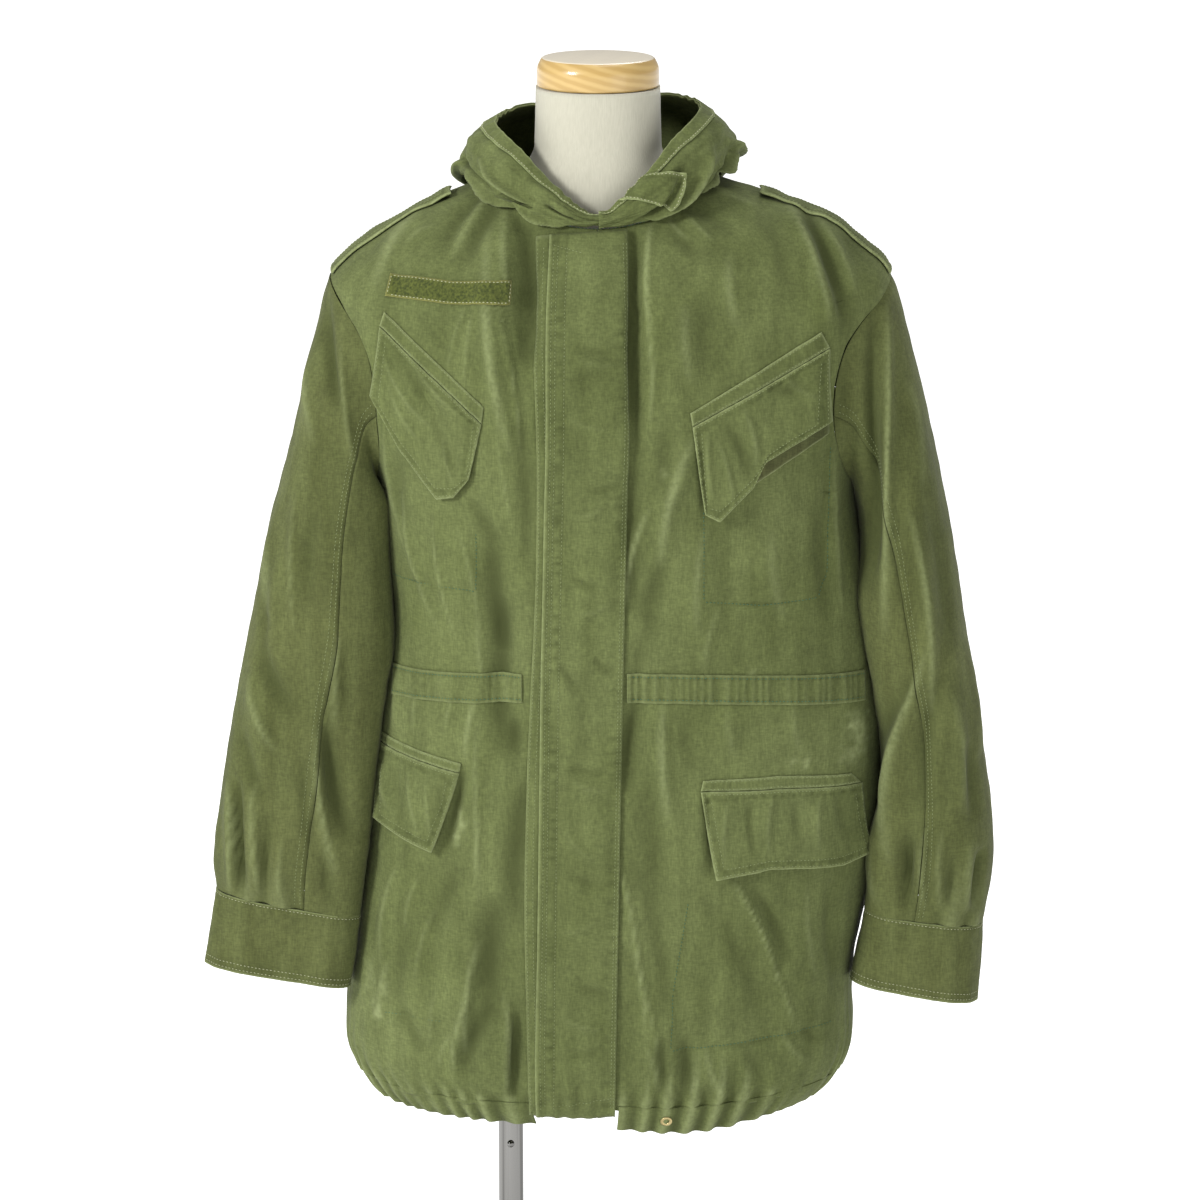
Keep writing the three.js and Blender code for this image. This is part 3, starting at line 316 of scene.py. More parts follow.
def mesh_object(name, points, faces, attributes=None):
    """A new object from points in mm and an array of triangles or quads."""
    mesh = bpy.data.meshes.new(name)
    corners = faces.shape[1]
    mesh.vertices.add(len(points))
    mesh.vertices.foreach_set("co", (points * MM).astype(np.float32).ravel())
    mesh.loops.add(faces.size)
    mesh.loops.foreach_set("vertex_index", faces.astype(np.int32).ravel())
    mesh.polygons.add(len(faces))
    mesh.polygons.foreach_set("loop_start", np.arange(0, faces.size, corners, dtype=np.int32))
    mesh.update(calc_edges=True)
    mesh.polygons.foreach_set("use_smooth", np.ones(len(faces), bool))
    for label, values in (attributes or {}).items():
        layer = mesh.attributes.new(label, "FLOAT", "POINT")
        layer.data.foreach_set("value", values.astype(np.float32).ravel())
    mesh.validate()
    thing = bpy.data.objects.new(name, mesh)
    bpy.context.scene.collection.objects.link(thing)
    return thing


def grid_ids(rows, columns, ring=False):
    """Numbers of a grid's points, with the first column again after the last where it closes on itself."""
    ids = np.arange(rows * columns).reshape(rows, columns)
    return np.concatenate([ids, ids[:, :1]], axis=1) if ring else ids


def grid_quads(ids):
    return np.stack([ids[:-1, :-1], ids[:-1, 1:], ids[1:, 1:], ids[1:, :-1]], -1).reshape(-1, 4)


def signed_volume(points, quads):
    a, b, c, d = (points[quads[:, i]] for i in range(4))
    return np.einsum("ij,ij->", a, np.cross(b, c)) + np.einsum("ij,ij->", a, np.cross(c, d))


def shell_arrays(outer, inner, ring):
    """Points and quads of one closed wall between two grids of the same size."""
    rows, columns = outer.shape[:2]
    points = np.concatenate([outer.reshape(-1, 3), inner.reshape(-1, 3)])
    ids = grid_ids(rows, columns, ring)
    back = ids + rows * columns
    quads = [
        grid_quads(ids),
        grid_quads(back)[:, [0, 3, 2, 1]],
        np.stack([back[0, :-1], back[0, 1:], ids[0, 1:], ids[0, :-1]], -1),
        np.stack([ids[-1, :-1], ids[-1, 1:], back[-1, 1:], back[-1, :-1]], -1),
    ]
    if not ring:
        quads.append(np.stack([ids[:-1, 0], ids[1:, 0], back[1:, 0], back[:-1, 0]], -1))
        quads.append(np.stack([back[:-1, -1], back[1:, -1], ids[1:, -1], ids[:-1, -1]], -1))
    quads = np.concatenate(quads)
    if signed_volume(points, quads) < 0:
        quads = quads[:, ::-1]
    return points, quads


def cloth_shell(name, outer, wall, wear_and_highlight=None, dark=None, ring=False, normals=None):
    """A closed cloth wall under the grid of its outer face."""
    if normals is None:
        normals = grid_normals(outer, ring)
        middle = outer.reshape(-1, 3).mean(axis=0)
        if np.sum(normals * (outer - middle)) < 0:
            normals = -normals
    wall = np.broadcast_to(wall, outer.shape[:2])[..., None]
    points, quads = shell_arrays(outer, outer - normals * wall, ring)
    attributes = {}
    for label, values in (("wear_and_highlight", wear_and_highlight), ("dark", dark)):
        values = np.zeros(outer.shape[:2]) if values is None else np.broadcast_to(values, outer.shape[:2])
        attributes[label] = np.concatenate([values.ravel(), 0.6 * values.ravel()])
    return mesh_object(name, points, quads, attributes)


def lathe(name, profile, segments, centre=(0, 0, 0)):
    """A turned solid. The profile is rows of radius and height, with small rings at its ends."""
    profile = np.asarray(profile, float)
    turn = np.linspace(0, 2 * math.pi, segments, endpoint=False)
    radius = profile[:, :1]
    height = profile[:, 1:] + 0 * turn
    points = np.stack([radius * np.cos(turn), radius * np.sin(turn), height], -1)
    return ring_object(name, points + np.asarray(centre, float))


def close_ends(thing):
    """Fills the open end rings of a turned or lofted mesh, and turns all faces outwards."""
    work = bmesh.new()
    work.from_mesh(thing.data)
    bmesh.ops.holes_fill(work, edges=[e for e in work.edges if e.is_boundary], sides=0)
    bmesh.ops.recalc_face_normals(work, faces=work.faces)
    for face in work.faces:
        face.smooth = len(face.verts) <= 4
    work.to_mesh(thing.data)
    work.free()


def ring_object(name, points):
    """A closed solid from a stack of rings of points."""
    thing = mesh_object(name, points.reshape(-1, 3), grid_quads(grid_ids(*points.shape[:2], ring=True)))
    close_ends(thing)
    return thing


def dress(thing, nodes, material):
    """Ties a piece to its body in the frame, hides the solids it stands for, and gives it its material."""
    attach(thing, "root")
    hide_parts(*nodes)
    thing.data.materials.append(material)


# Materials
class Shader:
    """A material being built, with nodes that read the object's own coordinates.

    A node's input is given by name or number, as another node's socket or as a fixed number or colour."""

    def __init__(self, name):
        self.material = bpy.data.materials.new(name)
        self.material.use_nodes = True
        self.tree = self.material.node_tree
        self.where = self.add("TexCoord").outputs["Object"]

    def feed(self, node, inputs):
        for name, value in inputs.items():
            socket = node.inputs[name]
            if isinstance(value, bpy.types.NodeSocket):
                self.tree.links.new(value, socket)
            elif socket.type == "RGBA":
                socket.default_value = (*value, 1)
            else:
                socket.default_value = value

    def add(self, kind, inputs=None, **settings):
        node = self.tree.nodes.new("ShaderNode" + kind)
        for name, value in settings.items():
            setattr(node, name, value)
        self.feed(node, inputs or {})
        return node

    def noise(self, scale, detail, stretch=None):
        """A noise texture, stretched along an axis where asked."""
        where = self.where
        if stretch is not None:
            where = self.add("Mapping", {"Vector": where, "Scale": stretch}).outputs["Vector"]
        return self.add("TexNoise", {"Vector": where, "Scale": scale, "Detail": detail}).outputs["Fac"]

    def ramp(self, value, low, high, colour_low, colour_high):
        ramp = self.add("ValToRGB", {"Fac": value})
        for end, place, colour in zip(ramp.color_ramp.elements, (low, high), (colour_low, colour_high)):
            end.position = place
            end.color = (*colour, 1)
        return ramp.outputs["Color"]

    def mix(self, share, a, b, blend="MIX"):
        return self.add("Mix", {0: share, 6: a, 7: b}, data_type="RGBA", blend_type=blend).outputs[2]

    def maths(self, operation, a, b, clamp=False):
        return self.add("Math", {0: a, 1: b}, operation=operation, use_clamp=clamp).outputs[0]

    def attribute(self, name):
        return self.add("Attribute", attribute_name=name).outputs["Fac"]

    def bump(self, height, strength, distance, inputs=None):
        sizes = {"Height": height, "Strength": strength, "Distance": distance}
        return self.add("Bump", {**sizes, **(inputs or {})}).outputs["Normal"]

    def finish(self, inputs):
        """Feeds the surface, and hands the material over."""
        self.feed(self.tree.nodes["Principled BSDF"], inputs)
        return self.material


# Olive cotton: faded ground, painted shade in troughs, dimples and stitch grooves, ridges paled partly by
# wear and partly as painted highlight, a fine weave with slubs along and across
OLIVE = (0.092, 0.112, 0.034)
OLIVE_FADED = (0.140, 0.166, 0.060)
OLIVE_DARK = (0.048, 0.058, 0.017)
OLIVE_WEAR_AND_HIGHLIGHT = (0.27, 0.31, 0.14)
WEAVE_PITCH = 1900.0
WEAVE_STRENGTH = 0.45


def grey(tone):
    return (tone, tone, tone)


def cloth_material(name, ground=OLIVE, faded=OLIVE_FADED, wear_and_highlight_share=0.75):
    shade = Shader(name)
    colour = shade.ramp(shade.noise(7.0, 5.0), 0.32, 0.70, ground, faded)
    streaks = shade.noise(60.0, 4.0, (1, 1, 0.12))
    colour = shade.mix(0.35, colour, shade.ramp(streaks, 0.3, 0.75, OLIVE_DARK, OLIVE_FADED))
    for stretch in ((1, 1, 0.22), (0.3, 0.3, 1)):
        slubs = shade.noise(620.0, 2.0, stretch)
        colour = shade.mix(0.34, colour, shade.ramp(slubs, 0.3, 0.7, grey(0.30), grey(0.70)), "OVERLAY")
    mottle = shade.noise(32.0, 5.0)
    colour = shade.mix(0.32, colour, shade.ramp(mottle, 0.3, 0.7, grey(0.38), grey(0.62)), "OVERLAY")
    # painted shade: the dark attribute darkens crease troughs, dimples, stitch grooves and parts lying under
    # others
    painted_shade = shade.maths("MULTIPLY", shade.attribute("dark"), 0.75, clamp=True)
    colour = shade.mix(painted_shade, colour, OLIVE_DARK)
    # paler where worn at edges and stains, and as painted highlight on ridge and gather crests
    rub_and_highlight = shade.maths("MULTIPLY", shade.attribute("wear_and_highlight"), shade.noise(220.0, 3.0))
    rub_and_highlight = shade.maths("MULTIPLY", rub_and_highlight, 2 * wear_and_highlight_share, clamp=True)
    colour = shade.mix(rub_and_highlight, colour, OLIVE_WEAR_AND_HIGHLIGHT)
    crumple = shade.bump(shade.noise(42.0, 3.0, (1, 1, 0.55)), 0.6, 0.003)
    yarns = shade.maths("ADD", shade.noise(WEAVE_PITCH, 1.0, (1, 1, 0.45)), shade.noise(160.0, 4.0))
    return shade.finish({
        "Base Color": colour, "Roughness": 0.88, "Sheen Weight": 0.04, "Sheen Roughness": 0.5,
        "Specular IOR Level": 0.18, "Normal": shade.bump(yarns, WEAVE_STRENGTH, 0.0004, {"Normal": crumple}),
    })


def pile_material():
    """Looped fastening tape: mottled short pile."""
    shade = Shader("tape_pile")
    tufts = shade.noise(420.0, 4.0)
    colour = shade.ramp(tufts, 0.34, 0.70, (0.030, 0.042, 0.004), (0.098, 0.116, 0.018))
    rub_and_highlight = shade.maths("MULTIPLY", shade.attribute("wear_and_highlight"), 0.8, clamp=True)
    return shade.finish({
        "Base Color": shade.mix(rub_and_highlight, colour, (0.26, 0.25, 0.07)), "Roughness": 0.95, "Sheen Weight": 0.05,
        "Normal": shade.bump(tufts, 0.9, 0.0008),
    })


def knit_material():
    """The form's cream jersey: fine upright ribs."""
    shade = Shader("form_jersey")
    fuzz = shade.noise(900.0, 3.0, (1, 1, 0.12))
    return shade.finish({
        "Base Color": shade.ramp(fuzz, 0.2, 0.8, (0.42, 0.405, 0.32), (0.50, 0.485, 0.39)),
        "Roughness": 0.92, "Sheen Weight": 0.25, "Normal": shade.bump(fuzz, 0.5, 0.0005),
    })


# The cap's flat top, in metres, above which its wood is painted pale as a painted reflection
WOOD_TOP = 1.4995


def wood_material():
    """Glossy turned wood: rings round an axis far off to one side, so that the grain runs nearly straight."""
    shade = Shader("cap_wood")
    tilt = (math.radians(84), math.radians(6), 0)
    place = shade.add("Mapping", {"Vector": shade.where, "Location": (0.35, 0.1, 0), "Rotation": tilt})
    sizes = {"Scale": 42.0, "Distortion": 0.9, "Detail": 3.0, "Detail Scale": 1.5}
    rings = shade.add("TexWave", {
        "Vector": place.outputs["Vector"], **sizes}, wave_type="RINGS", rings_direction="Z")
    colour = shade.ramp(rings.outputs["Fac"], 0.2, 0.9, (0.47, 0.31, 0.105), (0.56, 0.39, 0.15))
    height = shade.add("SeparateXYZ", {0: shade.where}).outputs["Z"]
    # the flat top painted near white: a painted reflection of the bright studio
    top = shade.maths("MULTIPLY", shade.maths("GREATER_THAN", height, WOOD_TOP), 0.8)
    return shade.finish({
        "Base Color": shade.mix(top, colour, (0.82, 0.76, 0.62)), "Roughness": 0.28, "Coat Weight": 0.3,
        "Coat Roughness": 0.08,
    })


def metal_material(name, dull, colour, roughness, scale=115.0, upright=0.01):
    """Metal with streaks or patches of darker and lighter colour and gloss; on the pole, the dark colour and
    its upright streaks are painted reflections.
    """
    shade = Shader(name)
    metal_streaks = shade.noise(scale, 2.0, (1, 1, upright))
    gloss = shade.add("MapRange", {"Value": metal_streaks, "To Min": roughness * 0.7, "To Max": roughness * 1.5})
    return shade.finish({
        "Base Color": shade.ramp(metal_streaks, 0.40, 0.60, dull, colour), "Roughness": gloss.outputs["Result"],
        "Metallic": 1.0,
    })


def thread_material(name, colour):
    return Shader(name).finish({"Base Color": colour, "Roughness": 0.8})


THREAD_MATERIALS = {
    "pale": thread_material("thread_pale", (0.42, 0.43, 0.27)),
    "green": thread_material("thread_green", (0.20, 0.235, 0.10)),
    "teal": thread_material("thread_teal", (0.045, 0.13, 0.075)),
}
CLOTH = cloth_material("olive_cotton")
CLOTH_EDGE = cloth_material("olive_cotton_wear_and_highlight", wear_and_highlight_share=0.9)
# A darker copy of the olive cotton for the sleeves and cuffs: painted shade where the light grazes them
CLOTH_SLEEVE_SHADED = cloth_material("olive_cotton_sleeve_shaded", (0.071, 0.082, 0.024), (0.102, 0.113, 0.037))
# The hook strip's own darker cloth, darkened further as painted shadow under the chest flap's curled edge
CLOTH_STRIP_DARK_AND_SHADOWED = cloth_material("olive_cotton_strip_dark_and_shadowed", (0.045, 0.05, 0.018), (0.08, 0.075, 0.03))
PILE = pile_material()
JERSEY = knit_material()
WOOD = wood_material()
# Pole chrome: dark base colours in upright streaks, painted dark reflections
CHROME = metal_material("chrome", (0.045, 0.043, 0.04), (0.21, 0.207, 0.198), 0.1)
FOOT_CHROME = metal_material("chrome_foot", (0.40, 0.395, 0.38), (0.52, 0.51, 0.49), 0.14, 9.0, 1)
BRASS = metal_material("brass", (0.40, 0.33, 0.15), (0.55, 0.45, 0.22), 0.3)


def dress_cloth(thing, node, material=None):
    dress(thing, [node], material or CLOTH)


# Thread: short raised stitches, gathered by colour and joined into one mesh each at the end
THREADS = {
    "pale": [],
    "green": [],
    "teal": [],
}
STITCH_PITCH = 3.6
STITCH_LENGTH = 2.5
STITCH_WIDTH = 0.95
STITCH_RISE = 0.5


def sew(colour, points, normals, pitch=STITCH_PITCH, length=STITCH_LENGTH, width=STITCH_WIDTH):
    """Lays stitches along a line of points that lies on a cloth's outer surface."""
    points = np.asarray(points, float)
    run = np.concatenate([[0], np.cumsum(np.linalg.norm(np.diff(points, axis=0), axis=-1))])
    starts = np.arange(pitch / 2, run[-1] - length, pitch)

    def at(values, places):
        return np.stack([np.interp(places, run, values[:, i]) for i in range(3)], -1)

    tail = at(points, starts)
    head = at(points, starts + length)
    out = unit(at(np.asarray(normals, float), starts + length / 2))
    along = unit(head - tail)
    across = unit(np.cross(out, along)) * width / 2
    middle = at(points, starts + length / 2)
    THREADS[colour].append(np.stack([
        tail, middle + across, head, middle - across, middle + out * STITCH_RISE, middle - out * STITCH_RISE,
    ], 1))


STITCH_FACES = np.array([
    (0, 3, 4), (3, 2, 4), (2, 1, 4), (1, 0, 4), (3, 0, 5), (2, 3, 5), (1, 2, 5), (0, 1, 5),
])


def build_threads():
    for colour, runs in THREADS.items():
        corners = np.concatenate(runs)
        faces = (np.arange(len(corners))[:, None, None] * 6 + STITCH_FACES).reshape(-1, 3)
        thing = mesh_object(f"thread_{colour}", corners.reshape(-1, 3), faces)
        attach(thing, "root")
        thing.data.materials.append(THREAD_MATERIALS[colour])


def on_grid(values, u, v):
    """Reads a grid of points at fractions u across and v down."""
    rows, columns = values.shape[:2]
    across = np.clip(np.asarray(u, float), 0, 1) * (columns - 1)
    down = np.clip(np.asarray(v, float), 0, 1) * (rows - 1)
    i = np.minimum(across.astype(int), columns - 2)
    j = np.minimum(down.astype(int), rows - 2)
    a = (across - i)[:, None]
    b = (down - j)[:, None]
    upper = values[j, i] * (1 - a) + values[j, i + 1] * a
    lower = values[j + 1, i] * (1 - a) + values[j + 1, i + 1] * a
    return upper * (1 - b) + lower * b


def sew_line(colour, outer, normals, across, down, **sizes):
    """Sews along a line, given by its fractions across and down a grid."""
    across, down = np.broadcast_arrays(across, down)
    sew(colour, on_grid(outer, across, down), on_grid(normals, across, down), **sizes)


def sew_grid(colour, outer, normals, corners, **sizes):
    """Sews along straight runs between corners, given as fractions across and down a grid."""
    corners = np.asarray(corners, float)
    for start, end in zip(corners[:-1], corners[1:]):
        t = np.linspace(0, 1, 90)
        u = lerp(start[0], end[0], t)
        v = lerp(start[1], end[1], t)
        sew_line(colour, outer, np.broadcast_to(normals, outer.shape), u, v, **sizes)


def sew_border(colour, outer, normals, width, height, inset, sides="urdl", **sizes):
    """Sews beside chosen sides of a piece: u for up, r for right, d for down and l for left."""
    a = inset / width
    b = inset / height
    runs = {
        "u": [(a, b), (1 - a, b)],
        "r": [(1 - a, b), (1 - a, 1 - b)],
        "d": [(1 - a, 1 - b), (a, 1 - b)],
        "l": [(a, 1 - b), (a, b)],
    }
    for side in sides:
        sew_grid(colour, outer, normals, runs[side], **sizes)


# Body panels
SEAM_GAP = 0.3
SIDE_GAP_FACTOR = 2.4
CENTRE_GAP_ANGLE = 0.12
ARMHOLE_SWING = 34
ARMHOLE_ROUNDNESS = 0.75
PANEL_WALL = 1.3
DOUBLED_WALL = 2.2


def armhole_level(t):
    return lerp(ARMPIT_LEVEL, TIP_LEVEL, (1 - np.cos(math.pi * t)) / 2)


def armhole_swing(t):
    return ARMHOLE_SWING * np.sin(math.pi * np.clip(t, 0, 1)) ** ARMHOLE_ROUNDNESS


def swing_at_level(level):
    part = np.clip((level - ARMPIT_LEVEL) / (TIP_LEVEL - ARMPIT_LEVEL), 0, 1)
    return armhole_swing(np.arccos(1 - 2 * part) / math.pi)


def seam_angle(level):
    width = (body_row(level)["right"] + body_row(level)["left"]) / 2
    return np.degrees(SEAM_GAP / 2 / width) * SIDE_GAP_FACTOR


def panel_levels(below, armhole, above):
    """Levels of a panel's rows: even heights below and above the armhole, and its own steps beside it."""
    return np.concatenate([
        np.linspace(PANEL_START, ARMPIT_LEVEL, below, endpoint=False),
        armhole_level(np.linspace(0, 1, armhole)),
        np.linspace(TIP_LEVEL, NECK_LEVEL, above + 1)[1:],
    ])


# The hem casing's pieces: the angles where each starts and ends, and its count of gathers, whose
# waves fade out upwards by uneven amounts
HEM_PIECES = {
    "hem_left": (-15.8, -89.9, 15),
    "hem_right": (4.8, 89.9, 15),
    "hem_back": (90.1, 269.9, 32),
}
HEM_WAVE_HEIGHT = 3.1
HEM_WAVE_AT_SEAM = 0.35
HEM_STAND_OUT = 1.2
CASING_WALL = 3.0
HEM_OVAL = (230, 125)
HEM_RISE = 45
PANEL_START = 0.9
CASING_END = 1.08


def gather_phase(name, turn):
    """How many waves lie between the start of a hem piece and an angle."""
    start, end, count = HEM_PIECES[name]
    return count * (turn - start) / (end - start)


def gather_wave(angle):
    """The hem's gathers at an angle round the body: uneven waves, at most 1.5 high either way."""
    turn = np.mod(angle, 360)
    ahead = np.where(turn > 270, gather_phase("hem_left", turn - 360), gather_phase("hem_right", turn))
    behind = gather_phase("hem_back", turn)
    phase = np.where((turn > 270) | (turn < 90), ahead, behind)
    wander = 0.26 * waves(turn, 0, 22, 5)
    size = np.clip(0.8 + 0.45 * waves(turn, 0, 30, 6), 0.15, 1.5)
    return size * np.cos(2 * math.pi * (phase + wander))


# Creases of the body's cloth, read off the photograph on its front and of like sizes on its back
CREASES = {
    "front": [
        (-86, 1378, -122, 1318, 4, 7, -3.0), (-100, 1384, -140, 1336, 5, 6, -2.6),
        (-114, 1388, -165, 1352, 6, 8, -2.2), (-93, 1382, -128, 1330, 5, 6, 2.2),
        (-70, 1380, -63, 1228, -4, 10, -8.5), (-84, 1372, -80, 1280, 5, 8, 2.6),
        (-100, 1354, -79, 1150, 10, 12, 3.2), (-99, 1307, -70, 1150, -5, 3.2, 1.8),
        (-110, 1296, -122, 1212, 3, 3.5, 1.4), (-118, 1290, -138, 1226, 3, 3.5, 1.2),
        (-92, 1205, -78, 1085, 3, 3.2, 1.5), (-145, 1378, -206, 1296, 9, 13, 3.2),
        (-170, 1372, -214, 1318, 6, 7, -1.8), (-120, 1350, -132, 1322, 3, 5, 1.4),
        (-150, 1350, -178, 1330, 3, 5, 1.2), (-197, 1168, -176, 1048, 5, 4, 1.8),
        (-186, 1150, -182, 1070, 0, 8, -2.0), (-181, 1110, -144, 975, 8, 4, 1.9),
        (-152, 1098, -130, 972, 6, 4, 1.6), (-132, 1085, -110, 985, -5, 5, 1.3),
        (-118, 1112, -92, 1070, 0, 7, -2.2), (-96, 1082, -88, 965, 4, 13, -3.8),
        (-70, 1190, -66, 1040, -3, 9, -2.6), (-86, 1020, -84, 862, 4, 13, -4.6),
        (-110, 1000, -104, 930, 3, 6, 1.6), (-106, 940, -122, 858, 4, 8, 2.6),
        (-128, 930, -142, 880, 3, 4, 1.3), (-160, 938, -172, 880, 4, 5, 1.5),
        (-182, 935, -190, 878, 3, 4, 1.2), (-77, 905, -76, 868, 0, 7, -2.8),
        (-111, 905, -108, 730, 4, 7, 1.6), (-60, 860, -74, 700, 8, 12, -3.6),
        (-110, 812, -112, 726, 2, 3, 1.6), (-125, 760, -150, 690, 6, 10, -2.4),
        (-188, 752, -204, 650, 6, 6, 1.7), (-165, 748, -180, 690, 4, 5, 1.3),
        (-150, 720, -170, 640, 5, 6, 1.3), (-112, 690, -125, 576, 5, 8, 3.2),
        (-118, 640, -136, 548, 6, 5, 2.4), (-90, 736, -98, 610, 8, 18, -6.0),
        (-98, 630, -128, 552, 5, 10, -4.0), (-74, 620, -77, 528, 3, 6, -6.0),
        (-88, 640, -88, 532, -4, 8, 3.0), (-150, 640, -158, 585, 3, 5, 1.2),
        (-196, 660, -205, 598, 4, 8, 2.0), (-185, 620, -160, 575, 4, 7, -2.0),
        (-175, 700, -190, 610, 5, 9, -1.8), (-135, 600, -150, 560, 3, 5, 1.6),
        (36, 1368, 36, 1150, 4, 7, -6.5), (50, 1366, 50, 1262, 5, 8, 3.0), (64, 1372, 92, 1330, 5, 7, -2.4),
        (58, 1376, 84, 1342, 4, 6, 1.8), (80, 1384, 124, 1352, 6, 8, -2.0),
        (72, 1380, 108, 1340, 5, 5, 1.6), (100, 1390, 150, 1368, 5, 6, 1.5),
        (44, 1290, 48, 1180, -4, 6, 2.0), (37, 1160, 34, 1000, 5, 12, -3.4),
        (180, 1382, 231, 1252, -7, 8, -4.2), (165, 1386, 214, 1266, -6, 8, 2.8),
        (198, 1362, 238, 1290, -4, 6, 2.0), (150, 1372, 178, 1285, -5, 9, -1.8),
        (120, 1330, 128, 1262, 4, 14, 1.8), (104, 1302, 100, 1232, 4, 10, -1.8),
        (80, 1290, 84, 1215, 3, 12, 1.8), (89, 1170, 58, 1046, 8, 13, 3.2),
        (66, 1180, 60, 1110, 3, 10, -2.2), (48, 1105, 26, 1012, 6, 7, 3.0),
        (64, 1060, 48, 975, 5, 11, -2.6), (100, 1090, 92, 980, 5, 12, 1.6),
        (160, 1080, 172, 990, 5, 14, 1.4), (218, 1160, 228, 980, 4, 6, 1.8),
        (206, 1110, 214, 985, 4, 8, -1.6), (112, 1010, 98, 945, 4, 8, 1.3),
        (138, 1000, 132, 948, 3, 6, -1.2), (44, 985, 38, 930, 3, 8, -2.4), (40, 930, 26, 830, 5, 9, -4.4),
        (60, 922, 66, 800, 4, 11, 2.8), (82, 915, 90, 850, 3, 9, -1.6), (120, 915, 128, 862, 3, 8, 1.2),
        (180, 915, 190, 862, 3, 8, 1.2), (50, 860, 60, 720, 5, 14, -2.0), (17, 776, 46, 590, -5, 5, 2.6),
        (26, 700, 58, 560, -5, 4, 1.8), (34, 770, 66, 620, -6, 10, -2.0),
        (122, 752, 168, 648, -5, 4.5, 3.4), (136, 752, 182, 655, -5, 7, -2.6),
        (166, 652, 184, 596, -2, 4, 1.8), (104, 730, 150, 620, -5, 9, -1.6),
        (196, 740, 206, 640, 5, 9, 1.4), (218, 740, 226, 620, 4, 7, -1.8), (60, 600, 66, 540, 3, 7, -2.6),
        (84, 600, 92, 530, 3, 9, -3.2), (44, 590, 56, 540, -3, 6, 2.2), (100, 590, 118, 530, 3, 8, 2.2),
        (140, 585, 160, 545, 3, 8, -1.8), (170, 600, 196, 560, 3, 7, 1.6), (190, 600, 214, 578, 3, 6, -1.6),
        (101, 838, 106, 748, 0, 5, -4.0), (-123, 858, -143, 768, 0, 5, -4.5),
        (-113, 1190, -122, 1120, 0, 4, -1.6), (95, 1170, 99, 1092, 0, 4, -2.0),
        (-190, 1024, -112, 1022, 0, 2.6, -0.9), (97, 1014, 204, 1009, 2, 2.6, -0.9),
        (97, 1110, 97, 1008, 0, 2.6, -0.7), (212, 1160, 208, 1005, 0, 2.6, -0.9),
        (68, 583, 222, 594, 3, 2.6, -1.0), (84, 728, 68, 578, -2, 2.6, -0.7),
        (-204, 608, -140, 607, 0, 2.6, -0.9), (-112, 1090, -112, 1018, 0, 2.6, -0.6),
    ],
    "back": [
        (-80, 1360, -150, 1290, 8, 10, -2.8), (-60, 1350, -104, 1262, 6, 9, 2.4),
        (84, 1360, 148, 1284, -7, 10, -2.6), (52, 1345, 96, 1250, -6, 9, 2.2),
        (-190, 1300, -172, 1130, 8, 12, -3.2), (196, 1300, 176, 1120, -8, 12, -3.0),
        (-176, 1250, -150, 1090, 6, 9, 2.4), (178, 1240, 150, 1080, -6, 8, 2.2),
        (-30, 1290, -20, 1130, 8, 16, 2.0), (44, 1250, 30, 1100, -7, 14, -2.0),
        (-110, 1180, -130, 1010, 8, 14, -3.0), (116, 1170, 130, 1000, -8, 13, -2.8),
        (-70, 1130, -84, 980, 5, 7, 1.8), (70, 1120, 88, 975, -5, 7, 1.8),
        (-10, 1080, -4, 960, 4, 12, -2.2), (-150, 900, -168, 760, 6, 10, 2.6),
        (-96, 905, -120, 740, 8, 12, -3.2), (-40, 900, -52, 720, 6, 10, 2.4),
        (20, 905, 14, 730, -6, 14, -3.2), (76, 900, 92, 720, 7, 11, 2.4),
        (136, 905, 150, 760, -6, 11, -2.8), (-190, 740, -176, 600, 6, 10, -2.6),
        (-130, 720, -146, 590, 5, 9, 2.6), (-70, 700, -80, 570, 5, 12, -3.0),
        (-14, 700, -24, 560, 5, 9, 2.2), (44, 700, 50, 560, -5, 12, -2.6), (104, 710, 120, 575, 5, 9, 2.4),
        (166, 720, 184, 590, -5, 10, -2.4), (200, 700, 214, 600, 4, 8, 1.8),
        (-100, 640, -110, 560, 3, 6, 1.6),
    ],
}


# Pale stains and rubbed spots on the front: middle, half-width, half-height and strength
STAINS = [
    (240, 884, 7, 9, 0.9), (245, 868, 6, 12, 0.7), (236, 856, 9, 6, 0.6), (181, 857, 2.5, 3, 0.8),
    (194, 855, 3, 4, 0.9), (141, 940, 3, 6, 0.7), (-208, 606, 4, 6, 0.8), (-200, 630, 3, 8, 0.4),
    (-128, 800, 4, 9, 0.8), (-132, 786, 3, 5, 0.7), (-216, 640, 5, 12, 0.4), (168, 650, 2, 2, 0.6),
    (60, 1135, 3, 4, 0.35),
]


def stains(x, z):
    total = 0 * x
    for middle_x, middle_z, half_x, half_z, strength in STAINS:
        ragged = 1 + 0.3 * waves(x, z, 9, int(abs(middle_x)) + 7)
        away = np.hypot((x - middle_x) / half_x, (z - middle_z) / half_z) * ragged
        total = total + strength * bell(away, 1)
    return total


SIDE_FULLNESS = 4.0


def side_fullness(angle, z):
    """Extra cloth at the sides, beside the sleeves, between the armhole and the lower pockets."""
    away = np.abs(np.mod(np.abs(angle) + 180, 360) - 180) - 90
    along = ease((z - 640) / 90) * ease((1230 - z) / 90)
    return SIDE_FULLNESS * along * bell(away, 22)


